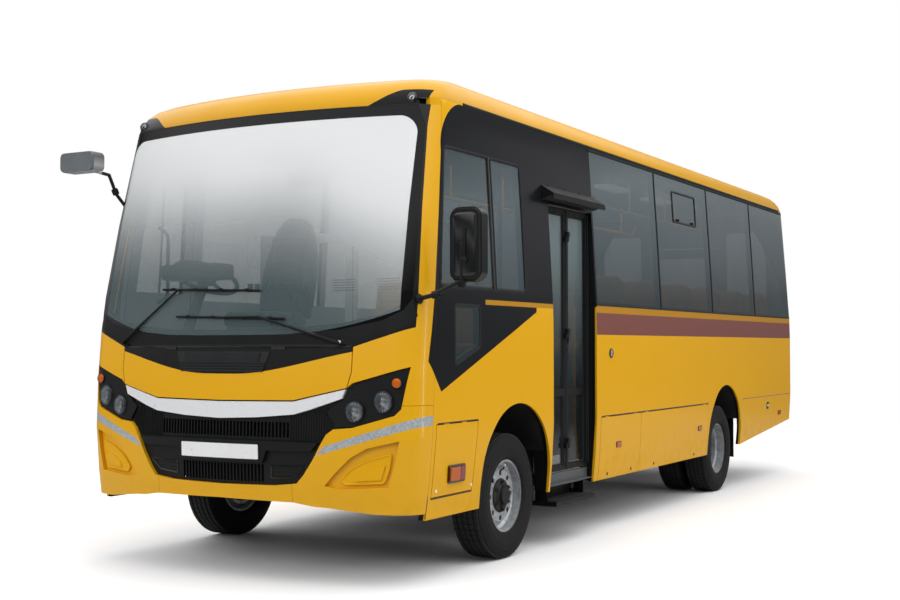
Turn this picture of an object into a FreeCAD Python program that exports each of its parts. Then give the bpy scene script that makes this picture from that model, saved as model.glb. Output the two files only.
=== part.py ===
"""School bus with a flat front, forward entry door and twin rear wheels.

Millimetres. +X is the bus's left side with the entry door, +Y points to its
rear, +Z is up. The origin lies on the ground below the middle of the bus.
"""
import FreeCAD, Part
import Sketcher
import math
import os
from FreeCAD import Placement, Rotation, Vector

doc = FreeCAD.newDocument("school_bus")
sheet = doc.addObject("Spreadsheet::Sheet", "Dim")

# Driving dimensions: alias, value, meaning
SIZES = [
    ("body_length", 8176, "bumper to bumper"),
    ("body_width", 2440, "across the belt line"),
    ("front_overhang", 1428, "nose to front axle"),
    ("wheelbase", 4300, "front axle to rear axle"),
    ("skirt_height", 366, "ground to the lower edge of the skirt"),
    ("skirt_seam", 822, "ground to the seam above the skirt flaps"),
    ("belt_height", 1627, "ground to the lower edge of the windows"),
    ("window_top", 2740, "ground to the upper edge of the windows"),
    ("roof_height", 2996, "ground to the crown of the roof"),
    ("turn_under", 34, "how far the skirt tucks in"),
    ("tumblehome", 70, "how far the sides lean in at the window tops"),
    ("front_rake", 313, "how far the windshield leans back at its top"),
    ("rear_rake", 60, "how far the tail leans in at the window tops"),
    ("front_radius", 3650, "bow of the nose seen from above"),
    ("front_corner", 200, "radius of the nose corners"),
    ("rear_radius", 9000, "bow of the tail seen from above"),
    ("rear_corner", 110, "radius of the tail corners"),
    ("wall", 40, "thickness of a body panel with its frame"),
    ("glass", 5, "pane thickness"),
    ("pane_inset", 2, "depth of a pane below the skin"),
    ("reveal", 6, "gap round a door or flap"),
    ("seat_gap", 0.3, "clearance where one piece rests on another"),
    ("front_seam", 380, "nose to the seam between mask and side wall"),
    ("tail_seam", 130, "tail to the seam between side wall and tail"),
    ("roof_joint", 2762, "ground to the joint of roof and walls"),
    ("arch_radius", 487, "wheel arch"),
    ("arch_height", 486, "ground to the arch centre"),
    ("arch_shift", 22, "arch centre behind the axle"),
    ("tyre_radius", 391.5, "rolling radius"),
    ("tyre_width", 225, "section width"),
    ("tread_width", 182, "tread"),
    ("rim_radius", 237, "rim flange"),
    ("bead_radius", 222, "bead seat"),
    ("rim_width", 170, "rim over its flanges"),
    ("rim_wall", 8, "rim steel"),
    ("track_reach", 1044, "centre line to the middle of an outer tyre"),
    ("twin_pitch", 262, "between the twin tyres"),
    ("disc_offset", 46, "wheel disc from the middle of the rim"),
    ("vent_count", 8, "ventilation holes in a wheel disc"),
    ("vent_radius", 17, "ventilation hole"),
    ("vent_circle", 163, "radius of the ventilation holes"),
    ("kingpin_reach", 915, "centre line to the king pin"),
    ("kingpin_radius", 20, "king pin"),
    ("pin_gap", 0.05, "radial clearance of pins and shafts"),
    ("spindle_radius", 34, "front spindle in its hub"),
    ("hub_radius", 80, "hub pilot inside the wheel disc"),
    ("drum_radius", 175, "brake drum"),
    ("rail_spread", 860, "outside of the chassis rails"),
    ("rail_depth", 210, "chassis rail"),
    ("rail_flange", 70, "chassis rail flange"),
    ("rail_steel", 8, "chassis rail steel"),
    ("rail_top", 766, "ground to the top of the rails"),
    ("rail_front", 150, "nose to the front end of the rails"),
    ("rail_rear", 170, "tail to the rear end of the rails"),
    ("bearer_width", 60, "floor bearer"),
    ("floor_top", 900, "ground to the floor"),
    ("floor_thick", 50, "floor deck"),
    ("door_front", 535, "front axle to the front edge of the entry"),
    ("door_width", 735, "entry width"),
    ("door_top", 2285, "ground to the top of the entry"),
    ("door_bottom", 478, "ground to the lower edge of the door"),
    ("door_plane", 1142, "centre line to the outside of the door"),
    ("leaf_thick", 28, "door leaf"),
    ("leaf_stile", 38, "frame of a door leaf"),
    ("leaf_pin", 8, "hinge pin of the door leaves"),
    ("knuckle", 13, "radius of a barrel of the middle hinges"),
    ("knuckle_reach", 14, "outside of the door to the pin of the middle hinges"),
    ("window_start", 1282, "front axle to the first passenger window"),
    ("window_pitch", 1336.5, "passenger windows"),
    ("window_bar", 26, "dark bar between panes"),
    ("window_pillar", 70, "post behind that bar"),
    ("window_count", 4, "passenger windows on a side"),
    ("cab_window_margin", 26, "seam behind the nose to the cab window"),
    ("cab_window_rear", 130, "front axle back to the end of the cab window"),
    ("cab_window_top", 2488, "ground to its upper edge"),
    ("cab_window_sill", 1668, "ground to its lower edge"),
    ("quarter_low", 1215, "low corner of the quarter light"),
    ("quarter_top", 1576, "upper edge of the quarter light"),
    ("seat_rows", 6, "rows of passenger seats"),
    ("seat_pitch", 800, "between the rows"),
    ("seat_width", 860, "one double seat"),
    ("seat_first", 1560, "front axle to the first row"),
    ("flap_skin", 24, "thickness of a skirt flap"),
    ("barrel_radius", 3.2, "hinge barrel of a flap"),
    ("barrel_drop", 3.5, "edge of an opening to the axis of its flap"),
    ("mirror_reach", 1545, "centre line to the outer edge of a mirror"),
    ("mirror_height", 410, "mirror head"),
    ("mirror_width", 200, "mirror head"),
]

for row, (alias, value, meaning) in enumerate(SIZES, 1):
    sheet.set("A%d" % row, meaning)
    sheet.set("B%d" % row, str(value))
    sheet.setAlias("B%d" % row, alias)
doc.recompute()


class Size:
    """A length that knows both its number and its formula in the sheet."""

    def __init__(self, number, text):
        self.number = float(number)
        self.text = text

    def __float__(self):
        return self.number

    def __add__(self, other):
        other = size(other)
        return Size(self.number + other.number, "(%s + %s)" % (self.text, other.text))

    def __sub__(self, other):
        other = size(other)
        return Size(self.number - other.number, "(%s - %s)" % (self.text, other.text))

    def __mul__(self, other):
        other = size(other)
        return Size(self.number * other.number, "(%s * %s)" % (self.text, other.text))

    def __truediv__(self, other):
        other = size(other)
        return Size(self.number / other.number, "(%s / %s)" % (self.text, other.text))

    def __radd__(self, other):
        return size(other) + self

    def __rsub__(self, other):
        return size(other) - self

    def __rmul__(self, other):
        return size(other) * self

    def __neg__(self):
        return Size(-self.number, "(0 - %s)" % self.text)


def size(value):
    """Any number as a Size."""
    if isinstance(value, Size):
        return value
    return Size(value, "(%r)" % float(value))


class Sheet:
    """The driving dimensions by name."""


D = Sheet()
for alias, value, meaning in SIZES:
    setattr(D, alias, Size(sheet.get(alias), "Dim." + alias))

half_width = D.body_width / 2
nose = -D.body_length / 2
tail = D.body_length / 2
front_axle = nose + D.front_overhang
rear_axle = front_axle + D.wheelbase
hub_height = D.tyre_radius
floor_under = D.floor_top - D.floor_thick
nodes = []


# Document helpers

def keep(label, thing):
    """Give a finished sub-part its own name."""
    thing.Label = label
    nodes.append(thing)
    return thing


def box(name, x, y, z):
    """A block between three pairs of lengths."""
    block = doc.addObject("Part::Box", name)
    for side, axis, (low, high) in (("Length", "x", x), ("Width", "y", y), ("Height", "z", z)):
        block.setExpression(side, (size(high) - size(low)).text)
        block.setExpression("Placement.Base." + axis, size(low).text)
    return block


TURNS = {
    "x": Rotation(Vector(0, 1, 0), 90),
    "y": Rotation(Vector(1, 0, 0), -90),
    "z": Rotation(),
}


def place(thing, at, turn=None):
    """Put a thing at three lengths, turned if asked."""
    if turn is not None:
        thing.Placement = Placement(Vector(0, 0, 0), turn)
    for axis, value in zip("xyz", at):
        thing.setExpression("Placement.Base." + axis, size(value).text)
    return thing


def rod(name, radius, length, at, axis="z"):
    """A cylinder that starts at a point and runs along an axis."""
    cylinder = doc.addObject("Part::Cylinder", name)
    cylinder.setExpression("Radius", size(radius).text)
    cylinder.setExpression("Height", size(length).text)
    return place(cylinder, at, TURNS[axis])


def cone(name, radius, far_radius, length, at, axis="z"):
    """A tapered cylinder that starts at a point and runs along an axis."""
    frustum = doc.addObject("Part::Cone", name)
    frustum.setExpression("Radius1", size(radius).text)
    frustum.setExpression("Radius2", size(far_radius).text)
    frustum.setExpression("Height", size(length).text)
    return place(frustum, at, TURNS[axis])


def fuse(name, things):
    """Several things as one solid."""
    union = doc.addObject("Part::MultiFuse", name)
    union.Shapes = things
    union.Refine = True
    return union


def cut(name, base, tool):
    """One thing less another."""
    remainder = doc.addObject("Part::Cut", name)
    remainder.Base = base
    remainder.Tool = tool
    return remainder


def group(name, things):
    """Like pieces that share a node."""
    compound = doc.addObject("Part::Compound", name)
    compound.Links = things
    return compound


def feature(name, shape):
    """A free form made in code."""
    thing = doc.addObject("Part::Feature", name)
    thing.Shape = shape
    return thing


def sketch(body, role, path, name):
    """A closed outline in a body's plane: each corner is two lengths."""
    plane = [item for item in body.Origin.OriginFeatures if item.Role == role][0]
    outline = body.newObject("Sketcher::SketchObject", name)
    outline.AttachmentSupport = [(plane, "")]
    outline.MapMode = "FlatFace"
    corners = [(size(u), size(v)) for u, v in path]
    count = len(corners)
    for index, (start, end) in enumerate(zip(corners, corners[1:] + corners[:1])):
        first = Vector(float(start[0]), float(start[1]), 0)
        last = Vector(float(end[0]), float(end[1]), 0)
        outline.addGeometry(Part.LineSegment(first, last), False)
    for index in range(count):
        outline.addConstraint(Sketcher.Constraint("Coincident", index, 2, (index + 1) % count, 1))
    for index, corner in enumerate(corners):
        for kind, value in zip(("DistanceX", "DistanceY"), corner):
            number = outline.addConstraint(
                Sketcher.Constraint(kind, -1, 1, index, 1, float(value)))
            outline.setExpression("Constraints[%d]" % number, value.text)
    return outline


# Free forms of the body shell

def mm(*values):
    """Plain numbers for shapes made in code."""
    return [float(value) for value in values]


def prism(points, axis, low, high):
    """A flat outline, drawn across an axis, run from low to high."""
    low, high = mm(low, high)
    lift = {
        "x": lambda a, b: Vector(low, a, b),
        "y": lambda a, b: Vector(a, low, b),
        "z": lambda a, b: Vector(a, b, low),
    }[axis]
    reach = {"x": Vector(1, 0, 0), "y": Vector(0, 1, 0), "z": Vector(0, 0, 1)}[axis]
    corners = [lift(*mm(a, b)) for a, b in points]
    wire = Part.makePolygon(corners + corners[:1])
    return Part.Face(wire).extrude(reach * (high - low))


def block(x, y, z):
    """A plain block between pairs of lengths."""
    low = Vector(*mm(x[0], y[0], z[0]))
    high = Vector(*mm(x[1], y[1], z[1]))
    return Part.makeBox(high.x - low.x, high.y - low.y, high.z - low.z, low)


def plan_points(height, side, front, rear, inset):
    """Corner points of the left half of the body at one height, seen from above."""
    width = float(half_width) - side
    ends = []
    for bow, corner, tip, way in (
            (D.front_radius, D.front_corner, float(nose) + front, 1),
            (D.rear_radius, D.rear_corner, float(tail) - rear, -1)):
        bow, corner = mm(bow, corner)
        inner = width - corner
        middle = tip + way * (bow - math.sqrt((bow - corner) ** 2 - inner ** 2))
        lean = math.asin(inner / (bow - corner))
        half = (lean + math.pi / 2) / 2
        small = corner - inset
        large = bow - inset

        def on_bow(x):
            return Vector(x, tip + way * (bow - math.sqrt(large ** 2 - x ** 2)), height)

        ends.append({
            "crest": Vector(0, tip + way * inset, height),
            "spine": on_bow(SPINE),
            "half_way": on_bow((SPINE + inner) / 2),
            "blend": Vector(inner + small * math.sin(lean), middle - way * small * math.cos(lean), height),
            "bulge": Vector(inner + small * math.sin(half), middle - way * small * math.cos(half), height),
            "flank": Vector(width - inset, middle, height),
        })
    return ends


def other(point):
    """The same point on the other side."""
    return Vector(-point.x, point.y, point.z)


def end_edges(end):
    """The bowed end of the body with both of its corners, from right to left."""
    return [
        Part.Arc(other(end["flank"]), other(end["bulge"]), other(end["blend"])).toShape(),
        Part.Arc(other(end["blend"]), end["crest"], end["blend"]).toShape(),
        Part.Arc(end["blend"], end["bulge"], end["flank"]).toShape(),
    ]


def line(start, stop):
    """A straight edge."""
    return Part.LineSegment(start, stop).toShape()


def plan_wire(row, inset, zone):
    """The outline of the whole body, its nose, its tail or its left half at one height."""
    height, side, front, rear = row
    fore, aft = plan_points(height, side, front, rear, inset)
    if zone == "whole":
        edges = end_edges(fore) + [line(fore["flank"], aft["flank"])]
        edges += [line(other(fore["flank"]), other(aft["flank"]))] + end_edges(aft)
        return Part.Wire(Part.__sortEdges__(edges))
    if zone in ("nose", "tail"):
        end, way = (fore, 1) if zone == "nose" else (aft, -1)
        limit = float(nose) + NOSE_DEPTH if zone == "nose" else float(tail) - TAIL_DEPTH
        back = Vector(end["flank"].x, limit, height)
        edges = end_edges(end) + [line(end["flank"], back), line(back, other(back)),
                                  line(other(back), other(end["flank"]))]
        return Part.Wire(Part.__sortEdges__(edges))
    edges = [
        Part.Arc(fore["spine"], fore["half_way"], fore["blend"]).toShape(),
        Part.Arc(fore["blend"], fore["bulge"], fore["flank"]).toShape(),
        line(fore["flank"], aft["flank"]),
        Part.Arc(aft["flank"], aft["bulge"], aft["blend"]).toShape(),
        Part.Arc(aft["blend"], aft["half_way"], aft["spine"]).toShape(),
        line(aft["spine"], fore["spine"]),
    ]
    return Part.Wire(edges)


SPINE = 500.0
NOSE_DEPTH = 1000.0
TAIL_DEPTH = 700.0


def stations():
    """Heights up the body with the insets of its sides, nose and tail there."""
    skirt, seam, belt, top, crown = mm(
        D.skirt_height, D.skirt_seam, D.belt_height, D.window_top, D.roof_height)
    under, lean, rake, tail_lean = mm(D.turn_under, D.tumblehome, D.front_rake, D.rear_rake)
    rise = crown - top
    rows = [
        (skirt - 30, under, 32, 40),
        (skirt + 190, under * 0.4, 12, 14),
        (seam, 0, 0, 2),
        (1150, 0, 10, 0),
        (1420, 0, 33, 0),
        (belt + 15, lean * 0.06, 66, tail_lean * 0.1),
        (2100, lean * 0.42, rake * 0.51, tail_lean * 0.45),
        (top, lean, rake, tail_lean),
    ]
    # The roof turns in over the cant rails and rises to a gentle crown
    for climb, side, front, rear in ((0.16, 8, 26, 10), (0.33, 24, 62, 30), (0.50, 52, 124, 66),
                                     (0.66, 96, 230, 124), (0.78, 160, 390, 215),
                                     (0.87, 300, 650, 400), (0.95, 560, 1050, 760),
                                     (1.0, 860, 1600, 1300)):
        rows.append((top + rise * climb, lean + side, rake + front, tail_lean + rear))
    return rows


solids = {}


def body(inset, zone, low, high):
    """The body as a solid between two heights, its skin moved in by an inset."""
    inset, low, high = mm(inset, low, high)
    key = (inset, zone, low, high)
    if key in solids:
        return solids[key]
    if zone == "right":
        solids[key] = body(inset, "left", low, high).mirror(Vector(0, 0, 0), Vector(1, 0, 0))
        return solids[key]
    top = float(D.window_top)
    rise = float(D.roof_height) - top
    rows = stations()
    first = max(index for index, row in enumerate(rows) if row[0] <= low or index == 0)
    last = min(index for index, row in enumerate(rows) if row[0] >= high or index == len(rows) - 1)
    wires = []
    for row in rows[first:last + 1]:
        share = max(0.0, row[0] - top) / rise
        drop = inset * min(1.0, share * 1.3)
        wires.append(plan_wire((row[0] - drop,) + row[1:], inset, zone))
    solids[key] = Part.makeLoft(wires, True, True)
    return solids[key]


def skin(outside, inside, zone, low, high):
    """The layer of the body between two insets."""
    key = (float(outside), float(inside), zone, float(low), float(high))
    if key not in solids:
        solids[key] = body(outside, zone, low, high).cut(body(inside, zone, low, high))
    return solids[key]


FAR = half_width + 200
tail_y = tail - D.tail_seam
LEFT = (0, FAR)
RIGHT = (-FAR, 0)
SIDES = {"left": LEFT, "right": RIGHT}
lower = D.skirt_height - 20
upper = D.roof_joint
pane_depth = D.pane_inset + D.glass
rebate_depth = pane_depth + D.seat_gap

# The seam behind the nose leans back beside the windshield
seam_line = [(nose + D.front_seam - 52, 300), (nose + D.front_seam, 1150), (nose + D.front_seam + 48, 1600),
             (nose + D.front_seam + 98, 2040), (nose + D.front_seam + 158, 2400),
             (nose + D.front_seam + 208, 2700), (nose + D.front_seam + 218, upper)]
seam_gap = 2
nose_area = [(nose - 100, 300)] + seam_line + [(nose - 100, upper)]
side_area = [(y + seam_gap, z) for y, z in seam_line] + [(tail_y, upper), (tail_y, 300)]


def arch(centre, grow, low, high):
    """The round-topped wheel opening across the bus between two x."""
    middle = float(centre + D.arch_shift)
    height = float(D.arch_height)
    radius = float(D.arch_radius) + grow
    low, high = mm(low, high)
    ends = [Vector(low, middle - radius, 100), Vector(low, middle - radius, height),
            Vector(low, middle, height + radius), Vector(low, middle + radius, height),
            Vector(low, middle + radius, 100)]
    edges = [
        Part.LineSegment(ends[0], ends[1]).toShape(),
        Part.Arc(ends[1], ends[2], ends[3]).toShape(),
        Part.LineSegment(ends[3], ends[4]).toShape(),
        Part.LineSegment(ends[4], ends[0]).toShape(),
    ]
    return Part.Face(Part.Wire(edges)).extrude(Vector(high - low, 0, 0))


def grown(pair, by):
    """A pair of lengths spread by a margin."""
    return (pair[0] - by, pair[1] + by)


def rect(y, z):
    """Corners of an upright rectangle on the bus's side."""
    return [(y[0], z[0]), (y[1], z[0]), (y[1], z[1]), (y[0], z[1])]


def shrink(outline, by):
    """A side outline drawn in towards its middle by a fixed margin."""
    points = [Vector(*mm(a, b), 0) for a, b in outline]
    face = Part.Face(Part.makePolygon(points + points[:1]))
    smaller = face.makeOffset2D(-float(by), 2, False, False, False)
    return [(vertex.X, vertex.Y) for vertex in smaller.OuterWire.OrderedVertexes]


# Side windows and openings, as outlines of y and z

window_z = (D.belt_height, D.window_top)


def seam_at(z):
    """Where the leaning seam behind the nose lies at a height."""
    z = float(z)
    for (y_low, low), (y_high, high) in zip(seam_line, seam_line[1:]):
        if float(low) <= z <= float(high):
            return y_low + (y_high - y_low) * ((z - float(low)) / (float(high) - float(low)))
    return seam_line[0][0]


def leaning(ahead, rear, z):
    """An outline whose front edge runs beside the leaning seam."""
    low, high = mm(*z)
    bends = [float(level) for y, level in reversed(seam_line) if low < float(level) < high]
    return [(rear, low), (rear, high)] + [(seam_at(level) + ahead, level) for level in [high] + bends + [low]]


def pane_outlines():
    """Passenger panes from front to rear."""
    outlines = []
    count = int(float(D.window_count))
    for index in range(count):
        start = front_axle + D.window_start + D.window_pitch * index
        gap = D.window_bar / 2
        end = tail_y - gap if index == count - 1 else start + D.window_pitch - gap
        outlines.append(rect((start + gap, end), window_z))
    return outlines


cab_pane = leaning(D.cab_window_margin, front_axle + D.cab_window_rear,
                   (D.cab_window_sill, D.cab_window_top))
quarter_pane = [
    (front_axle - 812, D.quarter_low), (front_axle - 494, D.quarter_low + 106),
    (front_axle - 494, D.quarter_top), (front_axle - 812, D.quarter_top)]
entry_y = (front_axle + D.door_front, front_axle + D.door_front + D.door_width)
driver_door_rear = front_axle - 318
driver_door_z = (size(640), D.cab_window_top + 52)
driver_door = leaning(52, driver_door_rear, driver_door_z)
driver_window = leaning(112, driver_door_rear - 60, (D.cab_window_sill, D.cab_window_top - 20))
right_front_pane = rect((front_axle - 235, front_axle + D.window_start - D.window_bar / 2), window_z)
access_flap = [(front_axle - 1057, 482), (front_axle - 576, 484), (front_axle - 524, 895),
               (front_axle - 1024, 895)]
flap_split = front_axle + 2151
skirt_flaps = [rect(y, (D.skirt_height - 60, D.skirt_seam)) for y in (
    (front_axle + 1345, flap_split + D.reveal / 2), (flap_split - D.reveal / 2, front_axle + 3800))]
tail_rise = [(rear_axle + 470, D.skirt_height - 60), (tail + 50, D.skirt_height - 60),
             (tail + 50, D.skirt_height + 205), (rear_axle + 470, D.skirt_height + 24)]
"""Ground clearance rises behind the rear wheels."""


hinge_axis = (-half_width - 11, front_axle - 1032)
hinge_heights = (690, 1060)


def hinge_lug(low, high, start, stop, root):
    """A knuckle of the driver's door hinge with the plate that carries it."""
    x, y = mm(*hinge_axis)
    low, high, start, stop, root = mm(low, high, start, stop, root)
    pieces = [Part.makeBox(3.5, stop - start, high - low, Vector(x + 2, start, low)),
              Part.makeBox(26, abs(root), high - low,
                           Vector(x + 2, start if root > 0 else stop + root, low))]
    return Part.makeCylinder(8, high - low, Vector(x, y, low)).fuse(pieces)


def side_wall(name):
    """One flank: its panels, pillars and openings."""
    reach = SIDES[name]
    wall = skin(0, D.wall, name, lower, upper).common(
        prism(side_area, "x", *reach).common(block(reach, (nose, tail), (D.skirt_height, upper))))
    flank_rebate = skin(0, rebate_depth, name, 1160, upper)
    tools = [arch(front_axle, 0, *reach), arch(rear_axle, 0, *reach),
             prism(tail_rise, "x", *reach)]
    panes = pane_outlines()
    if name == "left":
        panes += [cab_pane, quarter_pane]
        tools.append(block(reach, entry_y, (0, D.door_top)))
        tools.append(prism(access_flap, "x", *reach))
    else:
        panes.append(right_front_pane)
        tools.append(prism(shrink(driver_door, -D.reveal), "x", *reach))
    for outline in skirt_flaps:
        tools.append(prism(outline, "x", *reach))
    for outline in panes:
        tools.append(flank_rebate.common(prism(outline, "x", *reach)))
        tools.append(prism(shrink(outline, D.window_pillar / 2 - D.window_bar / 2), "x", *reach))
    wall = wall.cut(tools)
    if name == "right":
        x, y = mm(*hinge_axis)
        for height in hinge_heights:
            root_start = float(seam_at(height + 70)) + 4
            root_reach = 26
            lug = hinge_lug(height + 40.5, height + 70, root_start, max(y, root_start + root_reach),
                            root_reach)
            pin = Part.makeCylinder(4, 60, Vector(x, y, height + 8))
            wall = wall.fuse([lug, pin])
    return wall


def side_glass(name):
    """The panes of one flank."""
    reach = SIDES[name]
    outlines = pane_outlines()
    outlines += [cab_pane, quarter_pane] if name == "left" else [right_front_pane]
    flank_skin = skin(D.pane_inset, pane_depth, name, 1160, upper)
    return [flank_skin.common(prism(shrink(outline, D.seat_gap), "x", *reach))
            for outline in outlines]


panes = []
for name in SIDES:
    keep("side_wall_" + name, feature("wall_" + name, side_wall(name)))
    panes += side_glass(name)

# Roof with the visor lip over the windshield
visor_z = float(D.window_top) - 18
roof_zone = block((-FAR, FAR), (nose, tail), (upper, D.roof_height + 50))
visor_zone = block((-FAR, FAR), (nose, nose + D.front_seam + 100), (visor_z, upper + 20))
roof_shell = skin(0, D.wall, "whole", visor_z, D.roof_height).common(roof_zone.fuse(visor_zone))
hatch_side = 360
hatch_y = (front_axle + 2550 - hatch_side, front_axle + 2550 + hatch_side)
hatch_x = (-hatch_side, hatch_side)
hatch_z = (D.roof_height + D.reveal, D.roof_height + 62)
curb = block(grown(hatch_x, -36), grown(hatch_y, -36), (D.roof_height - D.wall, D.roof_height + 38))
hatch_hole = block(grown(hatch_x, -60), grown(hatch_y, -60), (D.roof_height - 100, D.roof_height + 100))
keep("roof", feature("roof_shell", roof_shell.fuse(curb).cut(hatch_hole)))
hatch_lid = cut("hatch_lid", box("hatch_blank", hatch_x, hatch_y, hatch_z),
                box("hatch_hollow", grown(hatch_x, -14), grown(hatch_y, -14),
                    (hatch_z[0] - 1, hatch_z[1] - 14)))
hatch_barrels = [rod("hatch_barrel_%d" % index, 5.2, 60,
                     (x, hatch_y[0] - 2, D.roof_height + 5.2 + D.seat_gap), "x")
                 for index, x in enumerate((-100, 40))]
keep("roof_hatch", fuse("hatch", [hatch_lid] + hatch_barrels))

# Nose outlines seen from the front: half of each, from the middle outwards
windshield_half = [(0, 1392), (420, 1398), (770, 1425), (1000, 1475), (1108, 1530), (1150, 1600),
                   (1128, 2160), (1104, 2600), (1060, visor_z - 4), (0, visor_z - 4)]
flap_half = [(0, 1022), (500, 1028), (818, 1100), (842, 1190), (842, 1334), (0, 1334)]
strip_half = [(0, 918), (262, 928), (500, 948), (600, 976), (790, 1040), (812, 1092), (500, 1020),
              (0, 1014)]
mouth_half = [(0, 540), (370, 546), (520, 562), (565, 612), (624, 700), (665, 775), (704, 839),
              (745, 870), (856, 880), (1089, 949), (1122, 985), (1160, 1218), (850, 1126),
              (818, 1100), (500, 1028), (0, 1022)]
lamp_half = [(760, 884), (856, 884), (1087, 953), (1118, 987), (1155, 1212), (854, 1122),
             (824, 1090), (796, 1036), (700, 968)]


def both(half):
    """A half outline and its mirror image as one closed outline."""
    middle = [point for point in half if abs(float(point[0])) < 1e-6]
    mirror = [(-float(x), z) for x, z in reversed(half) if point_is_off(x)]
    return list(half) + mirror if middle else list(half)


def point_is_off(x):
    """Whether a point lies off the centre plane."""
    return abs(float(x)) > 1e-6


def flipped(outline):
    """The outline on the other side of the centre plane."""
    return [(-float(x), z) for x, z in outline]


nose_reach = (nose - 100, nose + D.front_seam + 260)
windshield_outline = both(windshield_half)
flap_outline = both(flap_half)
mouth_outline = both(mouth_half)

# Mask: the yellow hoop with the corner pillars, open for glass, flap, grille and lamps
bumper_seam = size(1005)
nose_prism = prism(nose_area, "x", -FAR, FAR)
mask_zone = skin(0, D.wall, "nose", bumper_seam, visor_z).common(
    nose_prism.common(block((-FAR, FAR), nose_reach, (bumper_seam, visor_z - D.seat_gap))))
cowl_outline = both([(0, 1340.2), (842, 1340.2), (1150, 1446), (1176, 1500), (1150, 1600), (1108, 1530),
                     (1000, 1475), (770, 1425), (420, 1398), (0, 1392)])
cowl_depth = 26
mask = mask_zone
for tool in (
        skin(0, cowl_depth + D.seat_gap, "nose", 1300, 1610).common(
            prism(shrink(cowl_outline, -D.seat_gap), "y", *nose_reach)),
        skin(0, rebate_depth, "nose", 1339, visor_z).common(
            prism(windshield_outline, "y", *nose_reach)),
        prism(shrink(windshield_outline, 34), "y", *nose_reach),
        prism(shrink(flap_outline, -float(D.reveal)), "y", *nose_reach),
        prism(mouth_outline, "y", *nose_reach)):
    mask = mask.cut(tool)
keep("front_mask", feature("mask", mask))
keep("windshield", feature("windshield_pane", skin(D.pane_inset, pane_depth, "nose", 1339, visor_z).common(
    prism(shrink(windshield_outline, D.seat_gap), "y", *nose_reach))))

# Bumper: two sculpted corners and the lip between them
bumper_zone = skin(0, D.wall, "nose", 380, bumper_seam).common(
    nose_prism.common(block((-FAR, FAR), nose_reach, (380, bumper_seam - 2))))
lip_x = 490
recess_half = [(772, 539), (688, 554), (740, 616), (840, 713), (937, 768), (1115, 811), (1088, 678),
               (1052, 558)]
pocket = skin(0, 26, "nose", 380, bumper_seam)
bumper_tools = [prism(mouth_outline, "y", *nose_reach)]
for outline in (recess_half, flipped(recess_half)):
    bumper_tools.append(pocket.common(prism(outline, "y", *nose_reach)))
for side in (-1, 1):
    bumper_tools.append(block((side * lip_x - 1, side * lip_x + 1), nose_reach, (300, 600)))
chin = both([(0, 300), (1300, 300), (1300, 402), (964, 406), (702, 433), (619, 437), (497, 455),
             (0, 461)])
bumper_tools.append(prism(chin, "y", *nose_reach))
keep("front_bumper", feature("bumper", bumper_zone.cut(bumper_tools)))

# Service flap under the windshield
flap_axis_y = nose + 29
flap_axis_z = size(1336.4)
nose_flap = skin(0, D.flap_skin, "nose", 1020, 1339).common(prism(flap_outline, "y", *nose_reach))
for x in (-110, 50):
    nose_flap = nose_flap.fuse(Part.makeCylinder(
        2.9, 60, Vector(*mm(x, flap_axis_y, flap_axis_z)), Vector(1, 0, 0)))
keep("service_flap", feature("flap", nose_flap))

# Bright strip across the nose, standing a little proud
keep("nose_strip", feature("strip", skin(2, 30, "nose", 900, 1100).common(
    prism(both(strip_half), "y", *nose_reach))))

# Tail: panel with a centre emergency door, bumper, lamps and fixed panes
tail_reach = (tail_y, tail + 100)
tail_seam_z = D.skirt_height + 330
exit_x = (-410, 410)
exit_z = (D.floor_top - 60, size(2420))
exit_outline = [(exit_x[0], exit_z[0]), (exit_x[1], exit_z[0]),
                (exit_x[1], exit_z[1]), (exit_x[0], exit_z[1])]
tail_light = [(470, D.belt_height + 20), (985, D.belt_height + 20), (965, 2600), (470, 2600)]
exit_light = [(-330, D.belt_height + 20), (330, D.belt_height + 20), (330, 2340), (-330, 2340)]
lamp_plate = [(905, 880), (1055, 880), (1045, 1300), (905, 1300)]
tail_zone = skin(0, D.wall, "tail", tail_seam_z, upper).common(
    block((-FAR, FAR), (tail_y + 0.5, tail + 100), (tail_seam_z, upper - D.seat_gap)))
tail_rebate = skin(0, rebate_depth, "tail", D.belt_height, upper)
lamp_pocket = skin(0, 30 + D.seat_gap, "tail", 880, 1300)
tail_tools = [prism(shrink(exit_outline, -float(D.reveal)), "y", *tail_reach)]
for outline in (tail_light, flipped(tail_light)):
    tail_tools.append(tail_rebate.common(prism(outline, "y", *tail_reach)))
    tail_tools.append(prism(shrink(outline, 25), "y", *tail_reach))
lamp_tools = [lamp_pocket.common(prism(outline, "y", *tail_reach))
              for outline in (lamp_plate, flipped(lamp_plate))]
keep("tail_panel", feature("tail_shell", tail_zone.cut(tail_tools + lamp_tools)))
lamp_skin = skin(0, 30, "tail", 880, 1300)
keep("tail_lamps", feature("lamp_clusters", Part.makeCompound(
    [lamp_skin.common(prism(shrink(outline, 0.5), "y", *tail_reach))
     for outline in (lamp_plate, flipped(lamp_plate))])))
tail_skin = skin(D.pane_inset, pane_depth, "tail", D.belt_height, upper)
for outline in (tail_light, flipped(tail_light)):
    panes.append(tail_skin.common(prism(shrink(outline, D.seat_gap), "y", *tail_reach)))
keep("window_panes", feature("panes", Part.makeCompound(panes)))
keep("rear_bumper", feature("tail_bumper", skin(0, 60, "tail", D.skirt_height, tail_seam_z).common(
    block((-FAR, FAR), (tail_y + 0.5, tail + 100), (D.skirt_height + 190, tail_seam_z - D.reveal)))))
exit_zone = skin(0, D.wall, "tail", exit_z[0], exit_z[1]).common(prism(exit_outline, "y", *tail_reach))
exit_tools = [tail_rebate.common(prism(exit_light, "y", *tail_reach)),
              prism(shrink(exit_light, 25), "y", *tail_reach)]
exit_door = exit_zone.cut(exit_tools)
exit_axis = (-412.6, tail - 11)
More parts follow.
